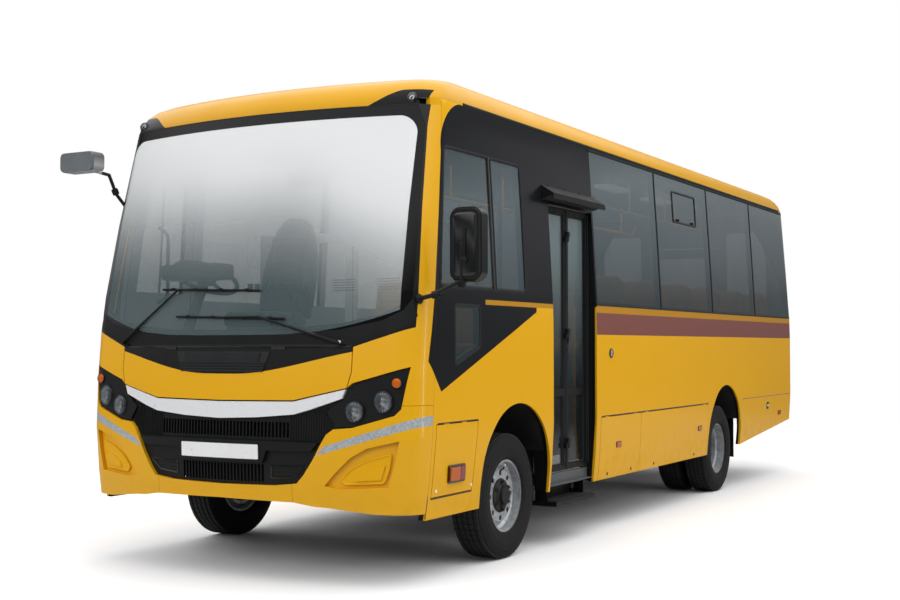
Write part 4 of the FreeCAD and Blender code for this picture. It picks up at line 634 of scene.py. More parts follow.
world = bpy.data.worlds.new("studio")
world.use_nodes = True
scene.world = world
tree = world.node_tree
backdrop = tree.nodes["Background"]
direction = tree.nodes.new("ShaderNodeTexCoord")
height = tree.nodes.new("ShaderNodeSeparateXYZ")
tree.links.new(direction.outputs["Generated"], height.inputs[0])
shade = tree.nodes.new("ShaderNodeValToRGB")
LEVELS = ((0.0, 0.08), (0.06, 0.12), (0.17, 0.45), (0.25, 0.12), (0.34, 0.03), (0.43, 0.80), (0.48, 1.0),
          (0.8, 0.8))
for index, (place, level) in enumerate(LEVELS):
    stop = shade.color_ramp.elements[index] if index < 2 else shade.color_ramp.elements.new(place)
    stop.position = place
    stop.color = (level, level, level * 1.01, 1)
tree.links.new(height.outputs[2], shade.inputs[0])
seen = tree.nodes.new("ShaderNodeLightPath")
white = tree.nodes.new("ShaderNodeMix")
white.data_type = "RGBA"
tree.links.new(seen.outputs["Is Camera Ray"], white.inputs[0])
tree.links.new(shade.outputs[0], white.inputs[6])
BRIGHTEST = 1.4
white.inputs[7].default_value = (1 / BRIGHTEST, 1 / BRIGHTEST, 1 / BRIGHTEST, 1)
tree.links.new(white.outputs[2], backdrop.inputs[0])
backdrop.inputs[1].default_value = BRIGHTEST

# %% [markdown]
# ## Tools for the small pieces
# Seals, lamps and plates follow the curved skin of the bus. A ray sent square into one side
# finds the skin, so a flat drawing can be laid on it. Each piece collects its forms in one
# mesh, with a finish for each form, and then rides on the body that it is fixed to.

# %% One side of the bus as a drawing board
SIDE_VIEWS = {
    "front": (Vector((0, 1, 0)), lambda u, v: Vector((u, -6, v))),
    "left": (Vector((-1, 0, 0)), lambda u, v: Vector((3, u, v))),
    "right": (Vector((1, 0, 0)), lambda u, v: Vector((-3, u, v))),
    "tail": (Vector((0, -1, 0)), lambda u, v: Vector((u, 6, v))),
    "top": (Vector((0, 0, -1)), lambda u, v: Vector((u, v, 5))),
}


def spread(first, last, count):
    """Even steps from one number to another, both ends included."""
    return [first + (last - first) * k / count for k in range(count + 1)]


class Board:
    """A side of the bus, seen square on, that drawings are laid on."""

    def __init__(self, side, *names):
        self.way, self.start = SIDE_VIEWS[side]
        points, faces = [], []
        for name in names:
            first = len(points)
            points += [vertex.co.copy() for vertex in nodes[name].data.vertices]
            faces += [[first + i for i in face.vertices] for face in nodes[name].data.polygons]
        self.tree = BVHTree.FromPolygons(points, faces)

    def at(self, u, v, lift=0.0):
        """The point of the skin behind a place in the drawing, lifted off it."""
        spot, normal = self.tree.ray_cast(self.start(u, v), self.way)[:2]
        if spot is None:
            spot, normal = self.tree.find_nearest(self.start(u, v) + self.way * 1.8)[:2]
        if normal.dot(self.way) > 0:
            normal = -normal
        return spot + normal * lift

    def line(self, start, stop, count, lift=0.0):
        """Points of the skin behind a straight line of the drawing."""
        places = zip(spread(start[0], stop[0], count), spread(start[1], stop[1], count))
        return [self.at(u, v, lift) for u, v in places]


# %% A mesh under construction
def rounded_corners(points, bend, closed=False, steps=5):
    """A path whose corners are turned into short curves."""
    points = [Vector(p) for p in points]
    if not bend:
        return points
    path = []
    count = len(points)
    for index, corner in enumerate(points):
        if not closed and index in (0, count - 1):
            path.append(corner)
            continue
        back = points[index - 1] - corner
        ahead = points[(index + 1) % count] - corner
        cut = min(bend, back.length * 0.45, ahead.length * 0.45)
        start, stop = corner + back.normalized() * cut, corner + ahead.normalized() * cut
        for step in range(steps + 1):
            t = step / steps
            path.append(start * (1 - t) ** 2 + corner * 2 * t * (1 - t) + stop * t ** 2)
    return path


def round_rect(u, v, bend, steps=5):
    """Outline of a rectangle with round corners."""
    corners = [(u[0], v[0], 0), (u[1], v[0], 0), (u[1], v[1], 0), (u[0], v[1], 0)]
    return [(p.x, p.y) for p in rounded_corners(corners, bend, True, steps)]


def paired_rect(way, near, far, v, bend):
    """A rectangle with round corners that stands on one side of the middle line, or on the other."""
    return round_rect(sorted((way * near, way * far)), v, bend)


class Piece:
    """A mesh of several forms and finishes that rides on one body, the bus's shell unless told."""

    def __init__(self, name, body="bus_body"):
        self.name = name
        self.body = body
        self.bm = bmesh.new()
        self.finishes = []

    def dress(self, faces, finish):
        """Give faces their finish."""
        if finish not in self.finishes:
            self.finishes.append(finish)
        for face in faces:
            face.material_index = self.finishes.index(finish)
            face.smooth = True
        return faces

    def form(self, points, faces, finish):
        """Add a form from its points and faces."""
        made = [self.bm.verts.new(p) for p in points]
        out = []
        for face in faces:
            corners = [made[i] for i in face]
            if len(set(corners)) > 2:
                out.append(self.bm.faces.new(corners))
        return self.dress(out, finish)

    def block(self, low, high, finish, soft=0.003):
        """A box with softened edges."""
        low, high = Vector(low), Vector(high)
        made = bmesh.ops.create_cube(self.bm, size=1)["verts"]
        size = high - low
        bmesh.ops.scale(self.bm, vec=size, verts=made)
        edges = list(dict.fromkeys(edge for vertex in made for edge in vertex.link_edges))
        soft = min(soft, min(size) * 0.45)
        bevel = bmesh.ops.bevel(self.bm, geom=edges, offset=soft, segments=2, affect="EDGES", profile=0.6)
        verts = [v for face in bevel["faces"] for v in face.verts] + [v for v in made if v.is_valid]
        verts = list(dict.fromkeys(verts))
        bmesh.ops.translate(self.bm, verts=verts, vec=(low + high) / 2)
        return self.dress(list(dict.fromkeys(face for v in verts for face in v.link_faces)), finish)

    def block_at(self, spot, less, more, finish, soft=0.003):
        """A box that reaches from a point by one measure down and another up."""
        return self.block(spot - Vector(less), spot + Vector(more), finish, soft)

    def turned(self, profile, spot, axis, finish, steps=32):
        """A form turned on a lathe: radius and height along an axis."""
        axis = Vector(axis).normalized()
        side = axis.orthogonal().normalized()
        other = axis.cross(side)
        points, faces = [], []
        for radius, height in profile:
            for step in range(steps):
                angle = math.tau * step / steps
                points.append(Vector(spot) + axis * height
                              + (side * math.cos(angle) + other * math.sin(angle)) * radius)
        for row in range(len(profile) - 1):
            for step in range(steps):
                after = (step + 1) % steps
                faces.append([row * steps + step, row * steps + after,
                              (row + 1) * steps + after, (row + 1) * steps + step])
        return self.form(points, faces, finish)

    def bar(self, path, radius, finish, sides=12, bend=0.0, closed=False, flat=1.0, up=(0, 0, 1)):
        """A round or flattened bar along a path."""
        path = rounded_corners(path, bend, closed)
        count = len(path)
        points, faces = [], []
        for index, spot in enumerate(path):
            before = path[index - 1] if closed or index else spot
            after = path[(index + 1) % count] if closed or index < count - 1 else spot
            along = (after - before).normalized()
            across = along.cross(Vector(up))
            if across.length < 0.05:
                across = along.orthogonal()
            across.normalize()
            high = across.cross(along)
            for side in range(sides):
                angle = math.tau * (side + 0.5) / sides
                points.append(spot + across * math.cos(angle) * radius
                              + high * math.sin(angle) * radius * flat)
        for index in range(count if closed else count - 1):
            for side in range(sides):
                turn, below = (side + 1) % sides, ((index + 1) % count) * sides
                faces.append([index * sides + side, index * sides + turn, below + turn, below + side])
        if not closed:
            faces += [list(range(sides)), list(range((count - 1) * sides, count * sides))]
        return self.form(points, faces, finish)

    def plate(self, board, outline, finish, thick=0.004, lift=0.0, step=0.07, sunk=0.003):
        """A thin plate cut to a drawing and laid on the skin."""
        flat = bmesh.new()
        flat.faces.new([flat.verts.new((u, v, 0)) for u, v in outline])
        bmesh.ops.triangulate(flat, faces=flat.faces[:])
        for axis in (0, 1):
            values = [p[axis] for p in outline]
            normal = Vector((1, 0, 0)) if axis == 0 else Vector((0, 1, 0))
            for cut in range(math.ceil(min(values) / step), math.floor(max(values) / step) + 1):
                bmesh.ops.bisect_plane(flat, geom=flat.verts[:] + flat.edges[:] + flat.faces[:],
                                       plane_co=normal * cut * step, plane_no=normal)
        flat.verts.index_update()
        count = len(flat.verts)
        points = [board.at(v.co.x, v.co.y, lift + thick) for v in flat.verts]
        points += [board.at(v.co.x, v.co.y, lift - sunk) for v in flat.verts]
        faces = []
        for face in flat.faces:
            ring = [v.index for v in face.verts]
            faces += [ring, [count + i for i in reversed(ring)]]
        for edge in flat.edges:
            if len(edge.link_faces) == 1:
                a, b = edge.verts[0].index, edge.verts[1].index
                faces.append([a, b, count + b, count + a])
        flat.free()
        return self.form(points, faces, finish)

    def bead(self, board, outline, radius, finish, lift=0.0, flat=1.0, bend=0.0, step=0.05, sides=8):
        """A rubber bead or a frame that follows a drawing on the skin."""
        corners = [(p.x, p.y) for p in rounded_corners([(u, v, 0) for u, v in outline], bend, True)]
        path = []
        for index, (u, v) in enumerate(corners):
            to_u, to_v = corners[(index + 1) % len(corners)]
            parts = max(1, int(math.hypot(to_u - u, to_v - v) / step))
            for part in range(parts):
                share = part / parts
                path.append(board.at(u + (to_u - u) * share, v + (to_v - v) * share, lift))
        return self.bar(path, radius, finish, sides, 0.0, True, flat, up=-board.way)

    def add(self, mesh):
        """Add a finished mesh with its own materials."""
        made = [self.bm.verts.new(vertex.co) for vertex in mesh.vertices]
        for face in mesh.polygons:
            new = self.bm.faces.new([made[i] for i in face.vertices])
            self.dress([new], mesh.materials[face.material_index])
        bpy.data.meshes.remove(mesh)

    def done(self, angle=35, stands_for=()):
        """Close the mesh, put it in the scene and fix it to its body."""
        bmesh.ops.remove_doubles(self.bm, verts=self.bm.verts[:], dist=0.00001)
        bmesh.ops.recalc_face_normals(self.bm, faces=self.bm.faces[:])
        mesh = bpy.data.meshes.new(self.name)
        self.bm.to_mesh(mesh)
        self.bm.free()
        for finish in self.finishes:
            mesh.materials.append(finish)
        mesh.set_sharp_from_angle(angle=math.radians(angle))
        thing = link(self.name, mesh)
        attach(thing, self.body)
        if stands_for:
            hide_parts(*stands_for)
        print(self.name, "faces", len(mesh.polygons))
        return thing


# %% [markdown]
# ### Repeats by Geometry Nodes
# Nuts, fins and tread blocks are one small form set out in a row or a ring. One node tree does
# both: it makes a line of points, turns each copy a little further than the last, and makes
# the copies real.

# %% The repeating tree
def build_repeat_tree():
    """A tree that sets out copies of a form in a row or a ring."""
    tree = bpy.data.node_groups.new("row_or_ring", "GeometryNodeTree")
    face = tree.interface
    face.new_socket("Geometry", in_out="INPUT", socket_type="NodeSocketGeometry")
    face.new_socket("Geometry", in_out="OUTPUT", socket_type="NodeSocketGeometry")
    for name, kind in (("Form", "Object"), ("Finish", "Material"), ("Count", "Int"),
                       ("Start", "Vector"), ("Step", "Vector"), ("Turn", "Vector")):
        face.new_socket(name, in_out="INPUT", socket_type="NodeSocket" + kind)
    make = tree.nodes.new
    wire = tree.links.new
    given, result = make("NodeGroupInput"), make("NodeGroupOutput")
    line, form = make("GeometryNodeMeshLine"), make("GeometryNodeObjectInfo")
    place, index = make("GeometryNodeInstanceOnPoints"), make("GeometryNodeInputIndex")
    scale, turn = make("ShaderNodeVectorMath"), make("FunctionNodeEulerToRotation")
    real, finish = make("GeometryNodeRealizeInstances"), make("GeometryNodeSetMaterial")
    scale.operation = "SCALE"
    wire(given.outputs["Count"], line.inputs["Count"])
    wire(given.outputs["Start"], line.inputs["Start Location"])
    wire(given.outputs["Step"], line.inputs["Offset"])
    wire(given.outputs["Form"], form.inputs["Object"])
    wire(given.outputs["Turn"], scale.inputs[0])
    wire(index.outputs[0], scale.inputs["Scale"])
    wire(scale.outputs[0], turn.inputs[0])
    wire(line.outputs["Mesh"], place.inputs["Points"])
    wire(form.outputs["Geometry"], place.inputs["Instance"])
    wire(turn.outputs[0], place.inputs["Rotation"])
    wire(place.outputs["Instances"], real.inputs["Geometry"])
    wire(real.outputs["Geometry"], finish.inputs["Geometry"])
    wire(given.outputs["Finish"], finish.inputs["Material"])
    wire(finish.outputs["Geometry"], result.inputs[0])
    return tree


REPEAT = build_repeat_tree()


BLOCK_FACES = [[4, 5, 6, 7], [0, 1, 5, 4], [1, 2, 6, 5], [2, 3, 7, 6], [3, 0, 4, 7]]


def small_form(points, faces):
    """A form to repeat."""
    mesh = bpy.data.meshes.new("form")
    mesh.from_pydata([tuple(p) for p in points], [], faces)
    return bpy.data.objects.new("form", mesh)


def rib_form(low, high, inset_x, inset_y):
    """A flat rib between two corners, narrower at its top and open below."""
    points = []
    for z, dx, dy in ((low[2], 0, 0), (high[2], inset_x, inset_y)):
        x0, x1, y0, y1 = low[0] + dx, high[0] - dx, low[1] + dy, high[1] - dy
        points += [(x0, y0, z), (x1, y0, z), (x1, y1, z), (x0, y1, z)]
    return small_form(points, BLOCK_FACES)


def repeated(form, finish, count, start, step=(0, 0, 0), turn=(0, 0, 0)):
    """A plain mesh of a form set out by the repeating tree."""
    holder = link("repeat", bpy.data.meshes.new("repeat"))
    nodes_modifier = holder.modifiers.new("set_out", "NODES")
    nodes_modifier.node_group = REPEAT
    values = {"Form": form, "Finish": finish, "Count": count, "Start": start, "Step": step, "Turn": turn}
    for socket in REPEAT.interface.items_tree:
        if socket.in_out == "INPUT" and socket.name in values:
            value = values[socket.name]
            if isinstance(value, (tuple, list)):
                value = [float(v) for v in value]
            nodes_modifier[socket.identifier] = value
    graph = bpy.context.evaluated_depsgraph_get()
    mesh = bpy.data.meshes.new_from_object(holder.evaluated_get(graph), depsgraph=graph)
    bpy.data.objects.remove(holder)
    bpy.data.objects.remove(form)
    return mesh


# %% [markdown]
# ## Tyres with tread
# A highway tyre has straight ribs cut into short blocks by thin sipes, a round shoulder and
# moulded rings on its side wall. The casing is turned on a lathe, and the blocks are one small
# wedge set out in rings, because a ring of sixty copies stays exactly round.

# %% Casing and tread
TYRE_PROFILE = [  # radius and distance from the middle of the section
    (0.2265, 0.0900), (0.2330, 0.0985), (0.2420, 0.1010), (0.2440, 0.1038), (0.2485, 0.1038),
    (0.2520, 0.1050), (0.2800, 0.1105), (0.3000, 0.1122), (0.3030, 0.1125), (0.3060, 0.1121),
    (0.3240, 0.1108), (0.3300, 0.1102), (0.3330, 0.1108), (0.3360, 0.1092), (0.3550, 0.1040),
    (0.3700, 0.0990), (0.3790, 0.0930), (0.3826, 0.0800), (0.3835, 0.0400), (0.3838, 0.0),
]
RIBS = ((-0.0755, 0.024), (-0.0375, 0.0285), (0.0, 0.0285), (0.0375, 0.0285), (0.0755, 0.024))
BLOCKS = 60


tread_rubber = grained("tread_rubber", "2b2b2c", 0.62, 240, 0.3, 0.0005, "3a3a3b",
                       Specular_IOR_Level=0.35)


def tread_block(across, width, lean):
    """One block of a rib: a wedge that stands on the casing."""
    half = math.pi / BLOCKS - 0.006
    top, root = 0.3912 - abs(across) * 0.022, 0.380
    points = []
    for radius in (root, top):
        for x, way in ((across - width / 2, -1), (across + width / 2, -1),
                       (across + width / 2, 1), (across - width / 2, 1)):
            angle = way * half + lean * (1 if x > across else -1)
            points.append((x, radius * math.sin(angle), radius * math.cos(angle)))
    return small_form(points, BLOCK_FACES)


def tyre_into(piece, x, y, outward):
    """One tyre round the axle at x."""
    loop = [(r, s) for r, s in TYRE_PROFILE] + [(r, -s) for r, s in reversed(TYRE_PROFILE[:-1])]
    piece.turned(loop, (x, y, HUB), (outward, 0, 0), rubber, 72)
    for index, (across, width) in enumerate(RIBS):
        lean = 0.012 if index % 2 else -0.012
        piece.add(repeated(tread_block(across, width, lean), tread_rubber, BLOCKS, (x, y, HUB),
                           turn=(math.tau / BLOCKS, 0, 0)))
    for index in range(3):
        angle = math.tau * index / 3 + 0.4
        spot = Vector((x + outward * 0.1105, y + 0.345 * math.cos(angle), HUB + 0.345 * math.sin(angle)))
        piece.turned([(0.004, -0.004), (0.0035, 0.002), (0.0, 0.0025)], spot, (outward, 0, 0), rubber, 8)


HALF_TYRE = 0.1125
WHEELS = [(end + "_" + side, way, axle) for end, axle in (("front", FRONT_AXLE), ("rear", REAR_AXLE))
          for side, way in SIDES]
for corner, way, y in WHEELS:
    twin = y == REAR_AXLE
    solid = ("tyres_" if twin else "tyre_") + corner
    tread = Piece("tread_wheel_" + corner, "wheel_" + corner)
    low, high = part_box(solid)
    outer = way * (max(abs(low.x), abs(high.x)) - HALF_TYRE)
    inner = way * (min(abs(low.x), abs(high.x)) + HALF_TYRE)
    for x in ([outer, inner] if twin else [outer]):
        tyre_into(tread, x, y, way)
    tread.done(30, [solid])


# %% [markdown]
# ## Hubs and nuts
# The steel wheel is bolted to a black hub by six nuts in front and eight behind, each on its
# stud with a washer face. Twelve points make the ring of a nut, and every second one is drawn
# in, which gives it six sides.

# %% Nuts, hub and valve
def nut_form(size, height, stud):
    """A six-sided nut with its stud, lying along X."""
    points, faces = [], []
    rings = [(size * 1.3, 0.0), (size * 1.3, 0.003), (size, 0.003), (size, height * 0.85),
             (size * 0.86, height), (stud, height), (stud, height * 1.45), (0.0001, height * 1.5)]
    for radius, x in rings:
        for step in range(12):
            angle = math.tau * step / 12
            grow = 1.0 if step % 2 == 0 or radius != size else 0.9
            points.append((x, radius * grow * math.cos(angle), radius * grow * math.sin(angle)))
    for row in range(len(rings) - 1):
        for step in range(12):
            after = (step + 1) % 12
            faces.append([row * 12 + step, row * 12 + after, (row + 1) * 12 + after, (row + 1) * 12 + step])
    return points, faces


def nuts_on(piece, x, y, way, circle_radius, count, size, finish):
    """A ring of nuts on a wheel disc."""
    points, faces = nut_form(size, size * 1.3, size * 0.5)
    moved = [(p[0] * way, p[1], p[2] + circle_radius) for p in points]
    piece.add(repeated(small_form(moved, faces), finish, count, (x, y, HUB), turn=(math.tau / count, 0, 0)))


BOLT_CIRCLE = 0.088
REAR_HUB = [(0.062, -0.002), (0.062, 0.05), (0.055, 0.062), (0.03, 0.066), (0.0, 0.067)]
FRONT_HUB = [(0.104, -0.002), (0.104, 0.006), (0.098, 0.010), (0.072, 0.011), (0.066, 0.016),
             (0.062, 0.030)]
for corner, way, y in WHEELS:
    twin = y == REAR_AXLE
    hub = Piece("hub_wheel_" + corner, "wheel_" + corner)
    rim_board = Board("left" if way > 0 else "right", "rim_" + corner)
    disc = rim_board.at(y + BOLT_CIRCLE, HUB).x
    nuts_on(hub, disc, y, way, BOLT_CIRCLE, 8 if twin else 6, 0.0155, dark_paint)
    hub.turned(REAR_HUB if twin else FRONT_HUB, (disc, y, HUB), (way, 0, 0), dark_paint, 32)
    valve = [(disc + way * out, y, HUB + up) for out, up in ((0.0, 0.155), (0.02, 0.165), (0.03, 0.185))]
    hub.bar(valve, 0.004, rubber, 8, 0.01)
    hub.turned([(0.0, 0.0), (0.006, 0.0), (0.006, 0.012), (0.0, 0.013)], valve[-1], (way * 0.4, 0, 1),
               bright, 10)
    hub.done()


# %% [markdown]
# ## Head lamps
# Each lamp is a bright bowl behind a clear dome, in a black housing. The bowl's shine comes
# from its shape: flutes round a small bulb cap. The indicator has an amber dome with fine
# rings, so its colour is deeper where the wall is seen edge-on.

# %% Lamp finishes
LAMPS = ((0.864, 0.969, 0.056), (1.022, 1.024, 0.058), (1.096, 1.128, 0.030))


def lens(name, code, clear, glow, rings=900):
    """A moulded lens: tinted, with fine rings."""
    ink = Ink(name, Roughness=0.08, Coat_Weight=0.25, Coat_Roughness=0.02, Specular_IOR_Level=0.4)
    ring = ink.noise(rings, 1)
    edge = ink.node("ShaderNodeLayerWeight", None, {"Blend": 0.4}, 1)
    ink.bump(ring, 0.2, 0.0004)
    colour = tint(code)
    ink.set("Base Color", ink.mix(edge, colour, tuple(c * 0.5 for c in colour[:3]) + (1,)))
    ink.set("Alpha", edge * (1 - clear) + clear)
    ink.set("Emission Color", colour)
    ink.set("Emission Strength", glow)
    return ink.material


clear_lens = lens("clear_lens", "7d868a", 0.08, 0.0)
amber_lens = lens("amber_lens", "c9600a", 0.92, 0.02)
dark_chrome = grained("dark_chrome", "44474a", 0.16, 60, 0.05, 0.0004, "2c2e30", Metallic=0.9)
mirror_bowl = grained("mirror_bowl", "b4b8bb", 0.1, 60, 0.1, 0.0006, "7f8487", Metallic=1.0)
gloss_black = grained("gloss_black", "0b0c0e", 0.14, 160, 0.05, 0.0004, "15171a",
                      Coat_Weight=0.5)

# %% Lamps in their housings
lamp_board = Board("front", "headlamps")
for side, way in SIDES:
    lamps = Piece("lamps_" + side)
    for x, z, radius in LAMPS:
        spot = lamp_board.at(way * x, z, 0.0)
        ahead = Vector((way * 0.10, -1, 0)).normalized()
        amber = radius < 0.04
        seat = spot + ahead * 0.0005
        lamps.turned([(radius * 1.02, 0.0), (radius * 1.06, 0.004), (radius * 1.0, 0.007),
                      (radius * 0.93, 0.004), (radius * 0.92, 0.001)], seat, ahead, dark_chrome, 40)
        if not amber:
            lamps.turned([(radius * 0.92, 0.0012), (radius * 0.72, 0.0006), (radius * 0.45, 0.0004),
                          (radius * 0.28, 0.002), (radius * 0.27, 0.006), (radius * 0.16, 0.008),
                          (0.0001, 0.0085)], seat, ahead, mirror_bowl, 40)
            flute = small_form([(0.0012, radius * 0.3, 0.003), (0.0012, radius * 0.9, 0.0035),
                                (0.0012, radius * 0.9, -0.0035), (0.0032, radius * 0.6, 0.0)],
                               [[0, 1, 3], [1, 2, 3], [2, 0, 3]])
            ring = repeated(flute, mirror_bowl, 24, (0, 0, 0), turn=(math.tau / 24, 0, 0))
            ring.transform(Matrix.Translation(seat) @ ahead.to_track_quat("X", "Z").to_matrix().to_4x4())
            lamps.add(ring)
        dome = [(radius * 0.93, 0.0045), (radius * 0.8, 0.009), (radius * 0.5, 0.012), (radius * 0.2, 0.0135),
                (0.0001, 0.0138)]
        lamps.turned(dome, seat, ahead, amber_lens if amber else clear_lens, 40)
    lamps.done(30)


# %% [markdown]
# ## Grille
# Behind the upright slots of the grille runs a fine horizontal mesh. Fins set out in rows
# catch the light one by one, which a painted pattern can't do.

# %% Fins behind the slots
NOSE_TIP, NOSE_FOLD, NOSE_TUCK, NOSE_BOW = -4.087, 0.822, 0.045, 7.3
FIN_DEPTH, FIN_PITCH = 0.045, 0.0125


def nose_line(x, z):
    """Where the bowed nose lies, low on the bus."""
    return NOSE_TIP + max(0.0, NOSE_FOLD - z) * NOSE_TUCK + x * x / NOSE_BOW


fins = Piece("grille_fins")
for half, low, high in ((0.46, 0.822, 0.898), (0.30, 0.566, 0.656)):
    for z in spread(low, high, round((high - low) / FIN_PITCH)):
        line = [(x, nose_line(x, z) + FIN_DEPTH, z) for x in spread(-half, half, 20)]
        fins.bar(line, 0.0032, black_plastic, 6)

STRIP_EDGE = ((0.262, 0.928), (0.500, 0.948), (0.600, 0.976), (0.790, 1.040))


def under_strip(x):
    """The lower edge of the bright strip."""
    for (x0, z0), (x1, z1) in zip(STRIP_EDGE, STRIP_EDGE[1:]):
        if x <= x1:
            return z0 + (z1 - z0) * (x - x0) / (x1 - x0)
    return STRIP_EDGE[-1][1]


grille_board = Board("front", "grille")
for way in (-1, 1):
    for k in range(17):
        x = 0.476 + 0.0155 * k
        top = min(under_strip(x) - 0.012, 0.985)
        foot = 0.802 if x < 0.66 else 0.802 + (x - 0.66) * 0.9
        fins.bar(grille_board.line((way * x, foot), (way * x, top), 5, 0.001), 0.0030, black_plastic, 6,
                 flat=1.4, up=(0, -1, 0))
    pocket = [(way * 0.345, 0.652), (way * 0.345, 0.584), (way * 0.490, 0.596), (way * 0.575, 0.660)]
    fins.bead(grille_board, pocket, 0.005, gloss_black, 0.001, 1.0, 0.01)
    for z in (0.606, 0.628):
        line = [grille_board.at(way * x, z, 0.001) for x in (0.352, 0.40, 0.45, 0.50)]
        fins.bar(line, 0.003, black_plastic, 6, up=(0, -1, 0))
fins.done(30)

# %% The pressed shape inside each bumper recess
bumper_board = Board("front", "front_bumper")
OUTER_PRESS = ((0.800, 0.566), (0.778, 0.590), (0.838, 0.652), (0.930, 0.700), (1.062, 0.738), (1.046, 0.650),
               (1.020, 0.578))
INNER_PRESS = ((0.858, 0.585), (0.872, 0.618), (0.940, 0.652), (1.028, 0.676), (1.004, 0.596))
for side, way in SIDES:
    press = Piece("recess_press_" + side)
    press.plate(bumper_board, [(way * x, z) for x, z in OUTER_PRESS], plain, 0.010, 0.0, 0.03)
    press.plate(bumper_board, [(way * x, z) for x, z in INNER_PRESS], plain, 0.007, 0.010, 0.03)
    press.bead(bumper_board, [(way * x, z) for x, z in OUTER_PRESS], 0.006, plain, 0.008, 1.0, 0.02, 0.02)
    press.done(40)


# %% [markdown]
# ## Plates, panels and badges left blank
# The number plate and the name panel are plain here. They keep their frame, screws and
# finish, since an empty holder is still a real piece of the bus.

# %% Number plate and name panel
white_plate = grained("white_plate", "e9eaea", 0.35, 500, 0.05, 0.0003, "d4d4d2")
nose_board = Board("front", "front_mask", "service_flap", "front_bumper", "grille", "nose_strip")
plate_piece = Piece("number_plate")
plate_piece.plate(nose_board, round_rect((-0.285, 0.285), (0.686, 0.779), 0.008), gloss_black, 0.004, 0.0)
plate_piece.plate(nose_board, round_rect((-0.279, 0.279), (0.691, 0.774), 0.006), white_plate, 0.003, 0.004)
for x in (-0.2, 0.2):
    spot = nose_board.at(x, 0.733, 0.007)
    plate_piece.turned([(0.006, 0.0), (0.005, 0.002), (0.0001, 0.0025)], spot, (0, -1, 0), bright, 12)
plate_piece.done()

flap_piece = Piece("flap_trim", "service_flap")
flap_board = Board("front", "service_flap")
panel = [(-0.283, 1.293), (-0.268, 1.243), (0.268, 1.243), (0.283, 1.293)]
name_panel = grained("name_panel", "2e3033", 0.24, 260, 0.08, 0.0004, "1f2123", Metallic=0.5)
flap_piece.plate(flap_board, [(-0.34, 1.300), (-0.30, 1.185), (0.30, 1.185), (0.34, 1.300)],
                 gloss_black, 0.004)
flap_piece.plate(flap_board, panel, name_panel, 0.004, 0.004)
for row in range(3):
    z = 1.232 - row * 0.016
    half = 0.312 - row * 0.004
    flap_piece.plate(flap_board, round_rect((-half, half), (z - 0.004, z + 0.004), 0.003),
                     black_plastic, 0.006, 0.004)
for way in (-1, 1):
    flap_piece.plate(flap_board, paired_rect(way, 0.350, 0.44, (1.311, 1.330), 0.005), gloss_black, 0.007)
flap_piece.bead(flap_board, [(-0.83, 1.326), (0.83, 1.326), (0.83, 1.322), (-0.83, 1.322)], 0.002,
                gloss_black, 0.001)
flap_piece.done(30)


# %% [markdown]
# ## Wipers
# Each wiper is a sprung arm on a pivot cap, with a claw in the middle of a rubber blade.

# %% Pivot caps, springs, claws and blades
glass_board = Board("front", "windshield")
full_board = Board("front", "windshield", "front_mask", "service_flap")
wipers = Piece("wiper_gear")
for pivot, elbow, blade in (((-0.850, 1.352), (-0.376, 1.664), ((-0.509, 1.672), (0.244, 1.650))),
                            ((0.768, 1.352), (0.269, 1.496), ((-0.365, 1.506), (0.422, 1.487)))):
    root = full_board.at(pivot[0], pivot[1], 0.012)
    wipers.turned([(0.024, -0.02), (0.024, 0.006), (0.019, 0.012), (0.012, 0.013), (0.011, 0.019),
                   (0.0001, 0.02)], root, (0, -1, 0.1), black_plastic, 20)
    wipers.turned([(0.009, 0.018), (0.009, 0.026), (0.0001, 0.027)], root, (0, -1, 0.1), bright, 6)
    tip = glass_board.at(elbow[0], elbow[1], 0.026)
    knee = root.lerp(tip, 0.3) + Vector((0, -0.004, 0.0))
    wipers.bar([root + Vector((0, -0.012, 0)), knee], 0.0115, black_plastic, 10, flat=0.6)
    wipers.bar([root.lerp(tip, 0.12) + Vector((0, -0.012, 0)), root.lerp(tip, 0.42) + Vector((0, -0.008, 0))],
               0.0045, steel, 8)
    (x0, z0), (x1, z1) = blade
    wipers.bar(glass_board.line(*blade, 14, 0.006), 0.0042, rubber, 8)
    wipers.bar(glass_board.line(*blade, 14, 0.015), 0.0055, black_plastic, 8, flat=0.5)
    for share in (0.12, 0.37, 0.63, 0.88):
        spot = glass_board.at(x0 + (x1 - x0) * share, z0 + (z1 - z0) * share, 0.012)
        wipers.block_at(spot, (0.012, 0.009, 0.009), (0.012, 0.006, 0.009), black_plastic)
    middle = glass_board.at((x0 + x1) / 2, (z0 + z1) / 2, 0.022)
    wipers.bar([glass_board.at(elbow[0], elbow[1], 0.024), middle], 0.006, black_plastic, 8)
wipers.done()


# %% [markdown]
# ## Seals, drip rail and markers on the flanks
# The panes are bonded behind thin black seals. A dark drip rail runs between the panes and
# the roof, small orange reflectors mark the skirt, and the sliding cab window and the vent in
# the second pane have slim black frames.

